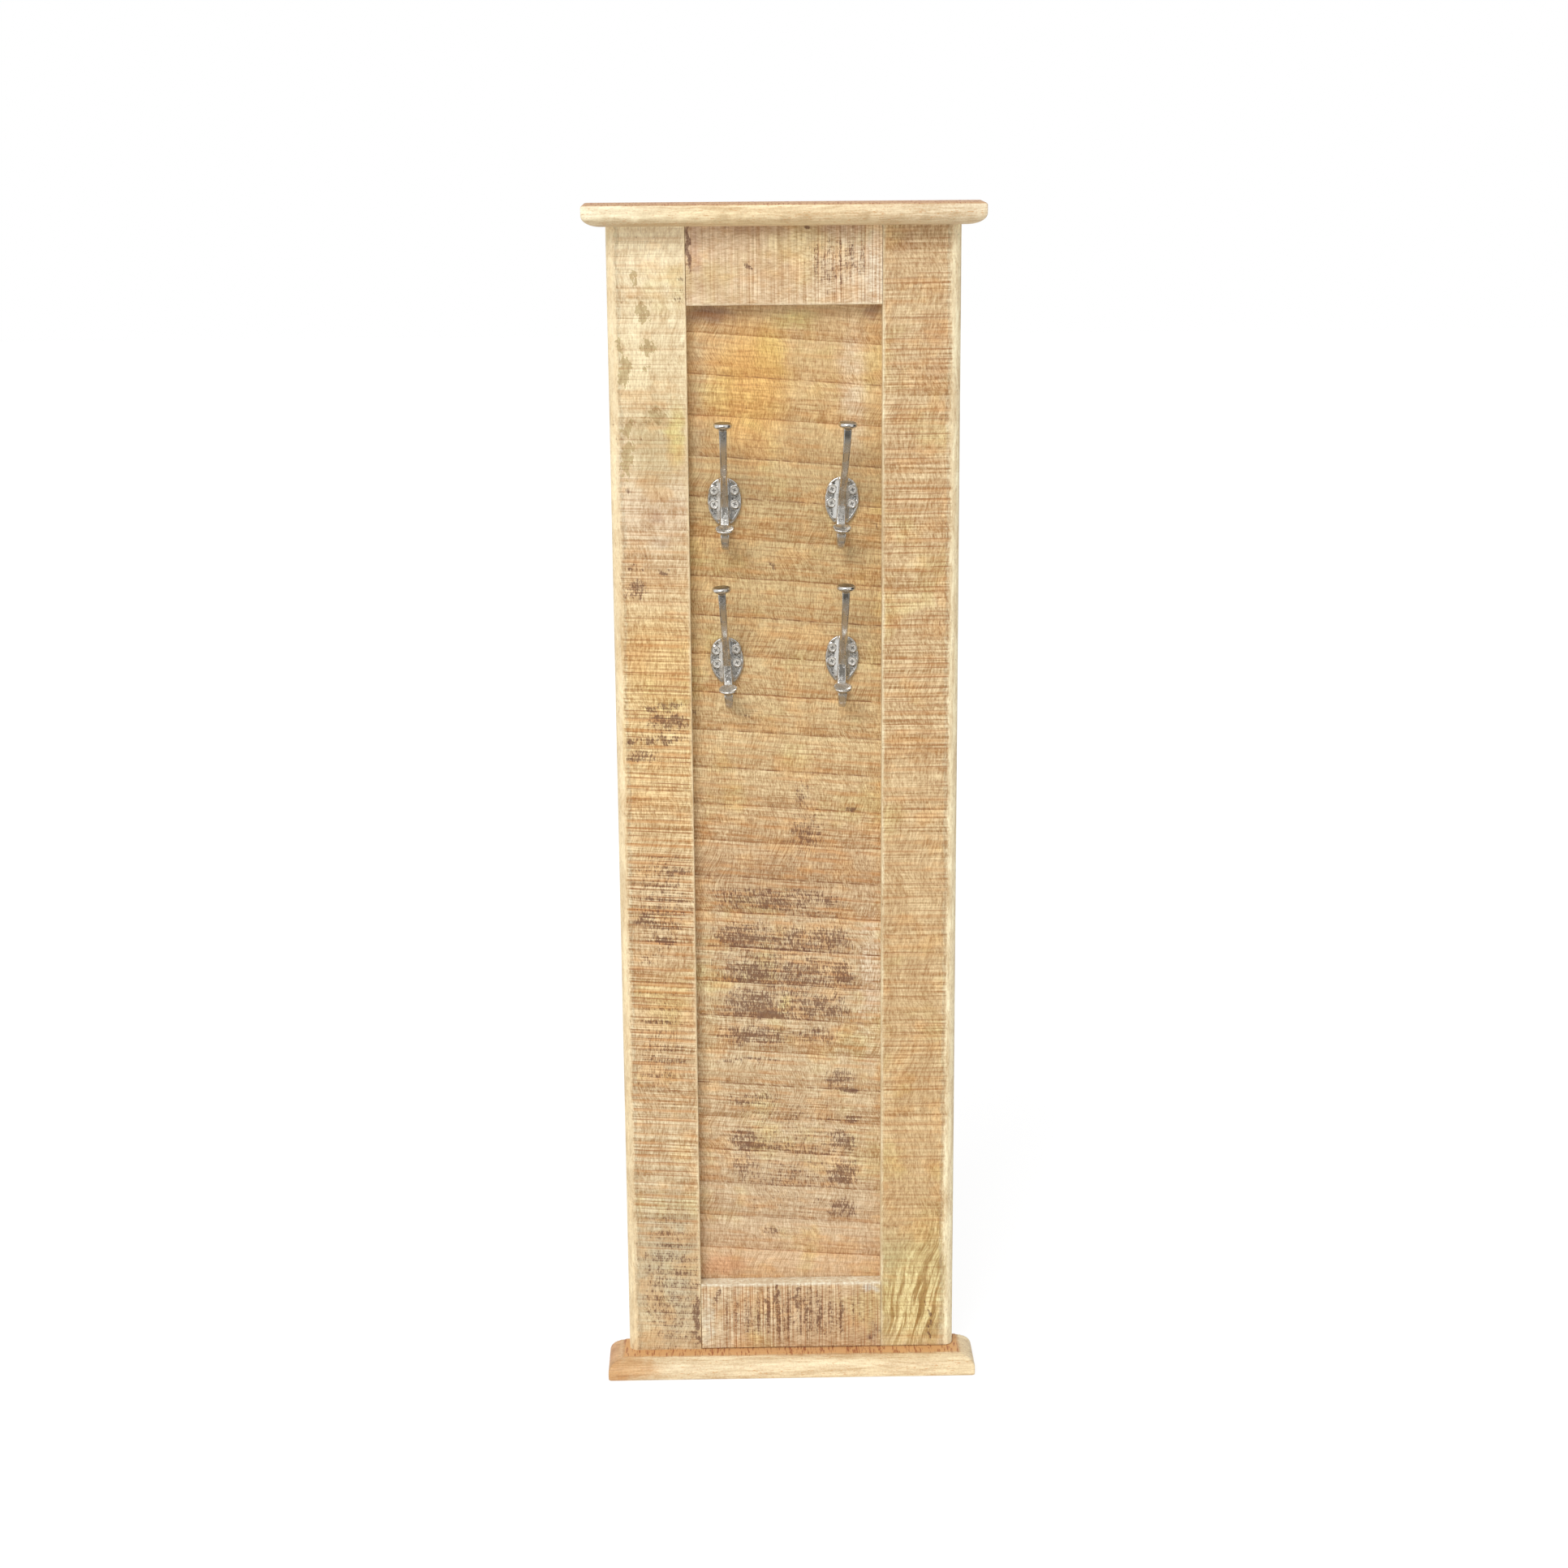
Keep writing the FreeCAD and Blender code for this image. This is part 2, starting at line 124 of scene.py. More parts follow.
def closed_copy(mesh, name):
    """The mesh under a new name, with doubled points welded, faces turned outwards and no stored normals."""
    weld = 0.001 * millimetre
    work = bmesh.new()
    work.from_mesh(mesh)
    bmesh.ops.remove_doubles(work, verts=work.verts, dist=weld)
    bmesh.ops.recalc_face_normals(work, faces=work.faces)
    copy = bpy.data.meshes.new(name)
    work.to_mesh(copy)
    work.free()
    for layer in ("custom_normal", "sharp_edge", "sharp_face"):
        if layer in copy.attributes:
            copy.attributes.remove(copy.attributes[layer])
    copy.materials.clear()
    return copy


def settled(piece):
    """The piece with its modifiers worked into its mesh."""
    depsgraph = bpy.context.evaluated_depsgraph_get()
    mesh = bpy.data.meshes.new_from_object(piece.evaluated_get(depsgraph))
    piece.modifiers.clear()
    piece.data = mesh
    mesh.materials.clear()
    return piece


def new_piece(name, data):
    """New object in the scene, from a mesh, a lamp or a camera."""
    piece = bpy.data.objects.new(name, data)
    bpy.context.scene.collection.objects.link(piece)
    return piece


sharp_angle = math.radians(28)


def fitted(blank, node):
    """Piece sawn from the blank, with the outline, joints and holes of the node that it stands for."""
    piece = new_piece(blank.name, blank)
    pattern = new_piece(node + "_pattern", closed_copy(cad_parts[node].data, node + "_pattern"))
    cut = piece.modifiers.new("joinery", "BOOLEAN")
    cut.operation = "INTERSECT"
    cut.solver = "EXACT"
    cut.object = pattern
    settled(piece)
    bpy.data.objects.remove(pattern)
    piece.data.shade_smooth()
    piece.data.set_sharp_from_angle(angle=sharp_angle)
    return piece


def points_of(mesh):
    """Points of a mesh as rows of X, Y and Z, in millimetres."""
    flat = np.empty(len(mesh.vertices) * 3)
    mesh.vertices.foreach_get("co", flat)
    return flat.reshape(-1, 3) / millimetre


def mark(mesh, name, values):
    """Writes a value, or a colour, for every point of the mesh."""
    values = np.asarray(values, np.float32)
    if values.ndim == 1:
        mesh.attributes.new(name, "FLOAT", "POINT").data.foreach_set("value", values)
    else:
        opaque = np.column_stack([values, np.ones(len(values), np.float32)])
        mesh.attributes.new(name, "FLOAT_COLOR", "POINT").data.foreach_set("color", opaque.ravel())


def ragged(points):
    """Points of a face moved about a little, so that what is drawn by them gets an uneven outline."""
    wide = 3.0
    fine = 2.0
    x, z = points[:, 0], points[:, 2]
    drift_x = wide * ripple(z, 9, 1) + fine * ripple(z + 0.6 * x, 5, 2)
    drift_z = wide * ripple(x, 7, 3) + fine * ripple(x - 0.7 * z, 6, 4)
    return np.column_stack([x + drift_x, points[:, 1], z + drift_z])


def oval(points, place, half):
    """1 inside an oval on the board's face, falling off softly at its rim."""
    reach = ((points[:, 0] - place[0]) / half[0]) ** 2 + ((points[:, 2] - place[1]) / half[1]) ** 2
    return np.exp(-reach ** 2)


def strongest(points, shows, places):
    """How strong a mark is at every point, from its places: X, Z, half width, half height and share."""
    cover = np.zeros(len(points))
    for x, z, half_x, half_z, share in places:
        cover = np.maximum(cover, share * shows * oval(points, (x, z), (half_x, half_z)))
    return cover


def mark_wood(mesh, axis, front, tones, patches, stains, coarse=((0, 1.0),), worn=(), streaked=()):
    """Marks a board's tone and how coarse it was sawn, both along an axis, and the places on its face.

    Tones and coarse are pairs of a place and a value. A patch is X, Z, half width, half height, shade and share.
    The face, with its patches, stains, worn and streaked places, reaches a little way back from the front.
    """
    face_depth = 6.0
    face_fade = 4.0
    points = points_of(mesh)
    mark(mesh, "coarse", np.interp(points[:, axis], *zip(*coarse)))
    places, shades = zip(*tones)
    tint = np.column_stack([np.interp(points[:, axis], places, part) for part in zip(*shades)])
    shows = np.clip((front + face_depth - points[:, 1]) / face_fade, 0, 1)
    points = ragged(points)
    for x, z, half_x, half_z, shade, share in patches:
        cover = (share * shows * oval(points, (x, z), (half_x, half_z)))[:, None]
        tint = tint * (1 - cover) + shade * cover
    mark(mesh, "tint", tint)
    mark(mesh, "stain", strongest(points, shows, stains))
    mark(mesh, "worn", strongest(points, shows, worn))
    mark(mesh, "streaked", strongest(points, shows, streaked))


def put(tree, kind, inputs=None, **settings):
    """New node of that kind, with its settings and its inputs, each a value or another node's output."""
    node = tree.nodes.new("ShaderNode" + kind)
    for setting, value in settings.items():
        setattr(node, setting, value)
    for socket, value in (inputs or {}).items():
        if isinstance(value, bpy.types.NodeSocket):
            tree.links.new(value, node.inputs[socket])
        else:
            node.inputs[socket].default_value = value
    return node


def reckon(tree, operation, *terms):
    return put(tree, "Math", dict(enumerate(terms)), operation=operation).outputs[0]


def product(tree, *values):
    """All the values multiplied together."""
    result = values[0]
    for value in values[1:]:
        result = reckon(tree, "MULTIPLY", result, value)
    return result


def centred(tree, value):
    """A value between 0 and 1, counted from its middle."""
    return reckon(tree, "SUBTRACT", value, 0.5)


def weighed(tree, start, *terms):
    """Start plus each value times its weight."""
    total = start
    for value, weight in terms:
        total = reckon(tree, "MULTIPLY_ADD", value, weight, total)
    return total


def ramp(tree, value, low, high):
    """0 at low, 1 at high and a smooth rise between them."""
    ends = {"Value": value, "From Min": low, "From Max": high}
    return put(tree, "MapRange", ends, interpolation_type="SMOOTHSTEP").outputs["Result"]


def painted(tree, below, above, share):
    """One colour laid over another."""
    above = above if isinstance(above, bpy.types.NodeSocket) else (*above, 1)
    return put(tree, "Mix", {0: share, 6: below, 7: above}, data_type="RGBA").outputs[2]


def scaled(tree, vector, factor):
    return put(tree, "VectorMath", {0: vector, "Scale": factor}, operation="SCALE").outputs[0]


def noise(tree, vector, detail, roughness=0.6, waviness=0.0):
    looks = {"Detail": detail, "Roughness": roughness, "Distortion": waviness}
    return put(tree, "TexNoise", {"Vector": vector, "Scale": 1.0, **looks}).outputs[0]


def place_in_mm(tree):
    return scaled(tree, put(tree, "TexCoord").outputs["Object"], 1 / millimetre)


def grain_cells(tree, size, offset, place=None):
    """Place on the piece counted in cells of that size, moved on so that noises differ."""
    counted = {0: place or place_in_mm(tree), 1: size}
    cells = put(tree, "VectorMath", counted, operation="DIVIDE").outputs[0]
    return put(tree, "VectorMath", {0: cells, 1: (offset,) * 3}, operation="ADD").outputs[0]


def grain_noise(tree, size, offset, detail, roughness=0.6, waviness=0.0, place=None):
    return noise(tree, grain_cells(tree, size, offset, place), detail, roughness, waviness)


def swayed(tree, sway, lean):
    """Place on the piece, drawn aside by up to the sway and by a lean up the piece, as crooked fibres run."""
    spot = put(tree, "SeparateXYZ", {0: place_in_mm(tree)}).outputs
    slow = centred(tree, grain_noise(tree, (90, 90, 70), 170, 1))
    across = weighed(tree, spot["X"], (slow, sway), (spot["Z"], lean))
    along = weighed(tree, spot["Z"], (slow, sway))
    return put(tree, "CombineXYZ", {"X": across, "Y": spot["Y"], "Z": along}).outputs[0]


def shader_group(name, takes):
    """Node group that takes inputs at their usual values: its tree, and where the inputs come in."""
    group = bpy.data.node_groups.new(name, "ShaderNodeTree")
    for socket, usual in takes.items():
        kind = "NodeSocketFloat" if np.isscalar(usual) else "NodeSocketVector"
        group.interface.new_socket(socket, in_out="INPUT", socket_type=kind).default_value = usual
    return group, group.nodes.new("NodeGroupInput").outputs


def giving(group, results):
    """The group, with each result on an output of that name."""
    for socket in results:
        group.interface.new_socket(socket, in_out="OUTPUT", socket_type="NodeSocketFloat")
    outlets = group.nodes.new("NodeGroupOutput").inputs
    for socket, value in results.items():
        group.links.new(value, outlets[socket])
    return group


def wood_fibre_group():
    """Grain of mango wood drawn out along the fibres: mottle, fibres, slow figure and dark pores.

    Patches where the wood turns amber or green lie over it.
    """
    group, takes = shader_group("wood_fibres", {"Size": (2.0, 2.0, 7), "Sway": 0.0, "Lean": 0.0})
    size = takes["Size"]
    crooked = swayed(group, takes["Sway"], takes["Lean"])
    broad = scaled(group, grain_cells(group, size, 40, crooked), 0.12)
    results = {
        "Mottle": ramp(group, grain_noise(group, (1.9, 1.9, 1.9), 0, 1, 0.5), 0.28, 0.72),
        "Fibre": ramp(group, grain_noise(group, size, 0, 2, 0.6, 0.2, crooked), 0.3, 0.7),
        "Figure": ramp(group, noise(group, broad, 3), 0.3, 0.7),
        "Pores": ramp(group, grain_noise(group, size, 90, 1), 0.62, 0.7),
        "Amber": ramp(group, grain_noise(group, (40, 40, 26), 120, 3), 0.5, 0.66),
        "Green": ramp(group, grain_noise(group, (70, 70, 60), 150, 3), 0.52, 0.68),
    }
    return giving(group, results)


def saw_mark_group():
    """Marks of the band saw, from the count of its strokes: ledges, scratches, grooves and stripes."""
    takes = {"Stroke": 0.0, "Lines": 8.0, "Grooves": 4.0, "Stripes": 1.4, "Reach": 60.0}
    group, takes = shader_group("saw_marks", takes)
    wobble = centred(group, grain_noise(group, (40, 40, 40), 0, 3))
    stroke = weighed(group, takes["Stroke"], (wobble, 0.05))
    phase = reckon(group, "FRACT", stroke)
    index = reckon(group, "FLOOR", stroke)
    spot = put(group, "SeparateXYZ", {0: place_in_mm(group)}).outputs
    across = reckon(group, "DIVIDE", reckon(group, "ADD", spot["X"], spot["Z"]), takes["Reach"])

    def chance(count):
        """A value between 0 and 1 for every count."""
        return put(group, "TexWhiteNoise", {"W": count}, noise_dimensions="1D").outputs["Value"]

    def run_of(count, stretch, seed):
        """Noise that changes from one count to the next and slowly along the line."""
        along = product(group, across, stretch)
        return noise(group, put(group, "CombineXYZ", {"X": count, "Y": along, "Z": seed}).outputs[0], 2)

    def comb(number, half_width, seed):
        """Lines at even steps, each with its own strength, which fades in and out along it."""
        count = weighed(group, product(group, stroke, number), (wobble, 0.2))
        line = reckon(group, "FLOOR", count)
        place = weighed(group, reckon(group, "FRACT", count), (chance(line), -0.4))
        away = reckon(group, "ABSOLUTE", reckon(group, "SUBTRACT", place, 0.3))
        strength = ramp(group, run_of(product(group, line, 5.3), 0.9, seed), 0.38, 0.64)
        return product(group, ramp(group, away, half_width, half_width * 0.3), strength)

    stroke_tone = chance(index)
    fade = ramp(group, run_of(index, 2.0, 12.0), 0.36, 0.6)
    ledge = product(group, ramp(group, phase, 0.945, 0.98), fade)
    results = {
        "Phase": phase,
        "Ledge": product(group, ledge, weighed(group, 0.3, (stroke_tone, 0.8))),
        "Scratch": ramp(group, run_of(product(group, stroke, takes["Lines"]), 0.7, 3.0), 0.32, 0.68),
        "Groove": comb(takes["Grooves"], 0.2, 6.0),
        "Stripe": comb(takes["Stripes"], 0.28, 9.0),
        "Tone": stroke_tone,
    }
    return giving(group, results)


def stain_group():
    """Where a stain took: all over where it is strong, and in specks, fibres and saw lines where it fades."""
    group, takes = shader_group("stain_specks", {"Stain": 0.0, "Fibre": 0.5, "Scratch": 0.5, "Phase": 0.5})
    level = weighed(
        group,
        -1.25,
        (takes["Stain"], 2.1),
        (ramp(group, grain_noise(group, (4, 4, 9), 200, 2), 0.3, 0.7), 0.45),
        (ramp(group, grain_noise(group, (1.1, 1.1, 3.2), 220, 2), 0.3, 0.7), 0.85),
        (takes["Fibre"], -0.4),
        (takes["Scratch"], -0.6),
        (takes["Phase"], 0.45),
    )
    return giving(group, {"Mask": ramp(group, level, -0.2, 0.5)})


def worn_group():
    """Where the surface wore off in patches with a crisp, uneven rim."""
    group, takes = shader_group("worn_places", {"Worn": 0.0})
    rim = grain_noise(group, (3.5, 3.5, 5), 240, 2, 0.55)
    level = weighed(group, -1.3, (rim, 1.6), (takes["Worn"], 0.9))
    return giving(group, {"Mask": ramp(group, level, 0.0, 0.06)})


def sanded_edge_group():
    """Where an edge was sanded, out to a width that wanders, and the dull band where the sanding stopped."""
    group, takes = shader_group("sanded_edge", {"Distance": 50.0, "Width": 9.0, "Wander": 3.0})
    slow = centred(group, grain_noise(group, (12, 12, 44), 0, 2))
    quick = centred(group, grain_noise(group, (3, 3, 5), 30, 2))
    drift = product(group, weighed(group, slow, (quick, 0.8)), takes["Wander"])
    inside = reckon(group, "SUBTRACT", reckon(group, "SUBTRACT", takes["Width"], takes["Distance"]), drift)
    near = reckon(group, "ABSOLUTE", reckon(group, "ADD", inside, 2.2))
    return giving(group, {"Mask": ramp(group, inside, -2.6, 2.6), "Stop": ramp(group, near, 2.6, 0.4)})


wood_fibres = wood_fibre_group()
saw_marks = saw_mark_group()
stain_specks = stain_group()
worn_places = worn_group()
sanded_edge = sanded_edge_group()


def effect(tree, group, **sockets):
    """A shared effect, placed in a material with its own values."""
    return put(tree, "Group", sockets, node_tree=group).outputs


def marked(tree, name, part="Fac"):
    """What was marked on the mesh under that name."""
    return put(tree, "Attribute", attribute_name=name).outputs[part]


def new_material(name):
    material = bpy.data.materials.new(name)
    material.use_nodes = True
    tree = material.node_tree
    tree.nodes.clear()
    return material, tree


def finished(tree, colour, roughness, height, depth, **constants):
    """Surface of a material: its shader, its relief and its output."""
    bump = put(tree, "Bump", {"Height": height, "Strength": 1.0, "Distance": depth * millimetre})
    sockets = {"Base Color": colour, "Roughness": roughness, "Normal": bump.outputs["Normal"]}
    sockets.update({socket.replace("_", " "): value for socket, value in constants.items()})
    shader = put(tree, "BsdfPrincipled", sockets)
    put(tree, "OutputMaterial", {"Surface": shader.outputs[0]})


grey_olive = tone(194, 174, 138)
worn_olive = tone(196, 168, 118)
streak_olive = tone(172, 132, 72)
leaf_yellow = tone(226, 204, 118)
fox_amber = tone(232, 172, 104)
saw_orange = tone(200, 138, 80)
saw_brown = tone(158, 104, 62)
heart_brown = tone(128, 86, 56)
stain_brown = tone(102, 68, 53)
grain_dark = (0.53, 0.43, 0.33, 1)
grain_light = (1.16, 1.34, 1.56, 1)


def washed(tree, base, grain):
    """A base colour taken browner in the dark of the grain and creamier in its light."""
    wash = put(tree, "Mix", {0: grain, 6: grain_dark, 7: grain_light}, data_type="RGBA").outputs[2]
    return put(tree, "VectorMath", {0: base, 1: wash}, operation="MULTIPLY").outputs[0]


def sawn_wood(name, fibre, sway, fray, marks, reach, shade, groove, stripe, ledge, edge_width, edge_tone):
    """Rough-sawn mango wood: fibres, saw marks and stains, with sanded edges in a paler tone.

    Marks are the lines, grooves and stripes in a saw stroke, which run on for about the reach.
    Fray, shade, groove, stripe and ledge say how strong each of them is.
    """
    edge_wander = 7.0
    arris_width = 1.6
    arris_wander = 2.0
    material, tree = new_material(name)
    fibres = effect(tree, wood_fibres, Size=fibre, Sway=sway)
    counts = dict(zip(("Lines", "Grooves", "Stripes"), marks))
    saw = effect(tree, saw_marks, Stroke=marked(tree, "stroke"), Reach=reach, **counts)
    sanded = effect(tree, sanded_edge, Distance=marked(tree, "edge"), Width=edge_width, Wander=edge_wander)
    # The inner arris is painted in the pale edge tone: bare wood where the edge was broken, and partly a painted
    # highlight on it.
    arris = effect(tree, sanded_edge, Distance=marked(tree, "arris"), Width=arris_width, Wander=arris_wander)
    bared_and_highlit = reckon(tree, "MAXIMUM", sanded["Mask"], arris["Mask"])
    rough = reckon(tree, "SUBTRACT", 1.0, bared_and_highlit)
    coarse = product(tree, marked(tree, "coarse"), rough)
    stepped = product(tree, weighed(tree, 0.5, (coarse, 0.5)), rough)
    torn = weighed(tree, 0.18, (reckon(tree, "MINIMUM", coarse, 1.0), fray))
    worn = effect(tree, worn_places, Worn=marked(tree, "worn"))["Mask"]
    lower = reckon(tree, "POWER", saw["Phase"], 1.5)
    took = {"Fibre": fibres["Fibre"], "Scratch": saw["Scratch"], "Phase": saw["Phase"]}
    stain = effect(tree, stain_specks, Stain=marked(tree, "stain"), **took)["Mask"]
    fresh = weighed(tree, 1.5, (saw["Tone"], -1.0))
    keen = product(tree, weighed(tree, 0.4, (fibres["Figure"], 1.2)), fresh)
    grain = weighed(
        tree,
        0.36,
        (product(tree, centred(tree, fibres["Mottle"]), torn), 0.4),
        (product(tree, centred(tree, fibres["Fibre"]), torn), 1.0),
        (fibres["Figure"], 0.22),
        (product(tree, centred(tree, saw["Scratch"]), keen, coarse), 0.5),
        (product(tree, reckon(tree, "SUBTRACT", 0.4, lower), stepped), shade),
        (centred(tree, saw["Tone"]), 0.1),
    )
    base = marked(tree, "tint", "Color")
    base = painted(tree, base, fox_amber, product(tree, fibres["Amber"], rough, 0.32))
    base = painted(tree, base, leaf_yellow, product(tree, fibres["Green"], rough, 0.22))
    figure = ramp(tree, effect(tree, wood_fibres, Size=(0.45, 0.45, 5.0))["Figure"], 0.2, 0.8)
    leaning = effect(tree, wood_fibres, Size=(0.42, 0.42, 7.0), Sway=30.0, Lean=-0.2)["Figure"]
    streaks = product(tree, ramp(tree, leaning, 0.2, 0.8), marked(tree, "streaked"))
    base = painted(tree, base, streak_olive, product(tree, streaks, 0.95))
    base = painted(tree, base, edge_tone, product(tree, bared_and_highlit, weighed(tree, 1.0, (figure, -0.5))))
    base = painted(tree, base, grey_olive, product(tree, sanded["Stop"], 0.4))
    base = painted(tree, base, worn_olive, product(tree, worn, 0.85))
    colour = washed(tree, base, grain)
    colour = painted(tree, colour, saw_orange, product(tree, saw["Stripe"], coarse, stripe))
    colour = painted(tree, colour, saw_brown, product(tree, saw["Groove"], coarse, groove))
    colour = painted(tree, colour, heart_brown, product(tree, saw["Ledge"], stepped, ledge))
    colour = painted(tree, colour, heart_brown, product(tree, fibres["Pores"], 0.25))
    stain_share = weighed(tree, 0.62, (fibres["Mottle"], 0.26))
    colour = painted(tree, colour, stain_brown, product(tree, stain, stain_share))
    roughness = weighed(tree, 0.62, (fibres["Fibre"], 0.16), (bared_and_highlit, -0.12))
    height = weighed(tree, 0.0, (fibres["Mottle"], 0.3), (fibres["Fibre"], 0.4), (saw["Groove"], -0.6))
    height = product(tree, height, weighed(tree, 0.3, (coarse, 0.7)))
    finished(tree, colour, roughness, height, depth=0.22, Specular_IOR_Level=0.3)
    return material


def dressed(piece, node, material):
    """Gives a piece its material and lets it stand for its node on the frame."""
    piece.data.materials.append(material)
    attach(piece, "root")
    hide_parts(node)


stile_phases = [0.0, 0.12, 0.4, 0.7, 0.9, 0.965]
stile_past_end = 5.0
stile_end_room = 0.3
stile_column_step = 2.5
stile_wave_length = 60.0
saw_wave = 0.08
past_side = 1.0
blank_back = 5.0


def stile_fall(points, middle, slopes):
    """How far strokes have fallen on from the stile's middle. Their slope in degrees changes along it."""
    slope = np.interp(points[..., 2], *zip(*slopes))
    return np.tan(np.radians(slope)) * (points[..., 0] - middle)


def sawn_stile(node, pitch, slopes, step, foot_gap, seed):
    """Stile with a saw stroke at every pitch, and a gap under its foot if it stops short of the plinth."""
    low, high = corners(node)
    middle = (low[0] + high[0]) / 2
    low_end = low[2] + foot_gap if foot_gap else low[2] - stile_past_end
    high_end = high[2] + stile_past_end
    column_count = round((high[0] - low[0]) / stile_column_step)
    counts = stroke_rows((high[2] - high_end) / pitch, (high[2] - low_end) / pitch, stile_phases)
    face = np.empty((len(counts), column_count, 3))
    face[..., 0] = np.linspace(low[0] - past_side, high[0] + past_side, column_count)[None, :]
    face[..., 2] = (high[2] - counts * pitch)[:, None]
    face[..., 2] -= stile_fall(face, middle, slopes)
    lowest = face[..., 2].min(axis=1)
    highest = face[..., 2].max(axis=1)
    within = (lowest > low_end + stile_end_room) & (highest < high_end - stile_end_room)
    counts = counts[within]
    face = np.concatenate([face[within][:1], face[within], face[within][-1:]])
    face[0, :, 2] = high_end
    face[-1, :, 2] = low_end
    strokes = np.concatenate([counts[:1], counts, counts[-1:]])
    wave = saw_wave * (1 + ripple(face[..., 2], stile_wave_length, seed))
    face[..., 1] = low[1] + (sunk(strokes, step, seed)[:, None] + wave)
    piece = fitted(blank_from_face(node.replace("stile", "upright"), face, blank_back), node)
    points = points_of(piece.data)
    mark(piece.data, "stroke", (high[2] - points[:, 2] - stile_fall(points, middle, slopes)) / pitch)
    inner, outer = sorted((abs(low[0]), abs(high[0])))
    mark(piece.data, "edge", outer - abs(points[:, 0]))
    mark(piece.data, "arris", abs(points[:, 0]) - inner)
    return piece


frame_front = corners("left_stile")[0][1]
stile_look = {"fibre": (1.6, 1.6, 6.5), "sway": 32.0, "reach": 80.0}
cream = tone(250, 226, 182)
straw = tone(244, 217, 168)
rose = tone(231, 200, 160)
honey = tone(233, 196, 138)
tan = tone(219, 184, 137)
beige = tone(219, 191, 148)
olive = tone(203, 181, 128)

left_slopes = [(-600, 3.4), (60, 0.3)]
left_stile = sawn_stile("left_stile", pitch=14.5, slopes=left_slopes, step=0.22, foot_gap=0, seed=11)
left_tones = [
    (-1099, beige),
    (-945, beige),
    (-735, tan),
    (-600, tan),
    (-470, honey),
    (-340, honey),
    (-215, rose),
    (-90, straw),
    (59, cream),
]
left_coarse = [
    (-1099, 0.35),
    (-990, 0.35),
    (-930, 0.75),
    (-880, 0.9),
    (-740, 1.05),
    (-600, 1.35),
    (-530, 0.9),
    (-470, 1.15),
    (-400, 1.0),
    (-260, 0.7),
    (-150, 0.4),
    (59, 0.3),
]
left_worn = [
    (-144, 9, 4, 10, 0.8),
    (-134, -22, 9, 14, 0.85),
    (-131, -54, 9, 10, 0.85),
    (-158, -50, 4, 9, 0.8),
    (-154, -76, 7, 16, 0.95),
    (-135, -76, 4, 6, 0.75),
    (-126, -122, 12, 10, 0.75),
    (-151, -132, 6, 9, 0.85),
    (-153, -160, 7, 22, 0.9),
]
left_patches = [
    (-123, -150, 28, 44, olive, 0.5),
    (-105, -140, 9, 30, tone(233, 208, 110), 0.45),
    (-125, -220, 6, 7, tone(190, 150, 120), 0.5),
    (-123, -245, 10, 6, tone(180, 152, 125), 0.4),
    (-126, -362, 34, 44, tone(233, 188, 124), 0.6),
    (-126, -720, 30, 40, tone(224, 178, 116), 0.4),
    (-126, -1005, 34, 80, grey_olive, 0.6),
    (-150, -1075, 12, 30, tone(238, 214, 166), 0.6),
    (-110, -880, 12, 12, honey, 0.7),
]
left_stains = [
    (-101, 9, 5, 3, 0.6),
    (-100, -1, 5, 2, 0.5),
    (-100, -9, 5, 2, 0.6),
    (-152, -192, 5, 3, 0.8),
    (-150, -270, 10, 2, 0.6),
    (-121, -272, 8, 3, 0.7),
    (-147, -291, 14, 10, 0.6),
    (-122, -408, 28, 4, 0.66),
    (-120, -424, 28, 9, 0.6),
    (-154, -441, 6, 3, 1.0),
    (-122, -441, 30, 6, 0.58),
    (-142, -458, 16, 8, 0.56),
    (-110, -578, 16, 5, 0.56),
    (-145, -628, 14, 6, 0.75),
    (-124, -652, 12, 4, 0.66),
    (-145, -672, 12, 4, 0.62),
    (-126, -610, 30, 60, 0.4),
    (-130, -760, 28, 60, 0.34),
    (-98, -1065, 4, 38, 0.75),
    (-126, -1025, 34, 90, 0.37),
]
mark_wood(left_stile.data, 2, frame_front, left_tones, left_patches, left_stains, left_coarse, left_worn)
left_wood = sawn_wood(
    "left_stile_wood",
    fray=0.4,
    marks=(7.0, 3.4, 1.7),
    shade=0.2,
    groove=0.75,
    stripe=0.5,
    ledge=0.6,
    edge_width=9.0,
    edge_tone=tone(255, 226, 176),
    **stile_look,
)
dressed(left_stile, "left_stile", left_wood)

right_slopes = [(-1100, 0.6), (60, -0.4)]
right_stile = sawn_stile("right_stile", pitch=12.5, slopes=right_slopes, step=0.16, foot_gap=0.9, seed=12)
right_tones = [
    (-1099, beige),
    (-1000, olive),
    (-960, tone(214, 177, 126)),
    (59, tan),
]
right_patches = [
    (146, -45, 12, 14, tone(206, 158, 112), 0.4),
    (147, -78, 9, 12, tone(206, 158, 112), 0.4),
    (112, 40, 12, 10, tone(196, 154, 116), 0.4),
    (144, -985, 22, 46, tone(240, 212, 146), 0.6),
    (128, -1050, 34, 50, tone(250, 226, 160), 0.9),
]
right_streaked = [
    (128, -1054, 40, 52, 1.0),
    (150, -1000, 20, 56, 0.8),
]
right_coarse = [
    (-1099, 0.4),
    (-1000, 0.5),
    (-960, 0.7),
    (-600, 0.75),
    (-400, 1.0),
    (-250, 1.0),
    (0, 0.85),
]
right_stains = [
    (145, -1069, 1.2, 28, 0.9),
]
mark_wood(
    right_stile.data,
    2,
    frame_front,
    right_tones,
    right_patches,
    right_stains,
    right_coarse,
    streaked=right_streaked,
)
right_wood = sawn_wood(
    "right_stile_wood",
    fray=0.42,
    marks=(5.5, 2.6, 1.3),
    shade=0.12,
    groove=0.65,
    stripe=0.3,
    ledge=0.5,
    edge_width=10.0,
    edge_tone=tone(255, 234, 188),
    **stile_look,
)
dressed(right_stile, "right_stile", right_wood)

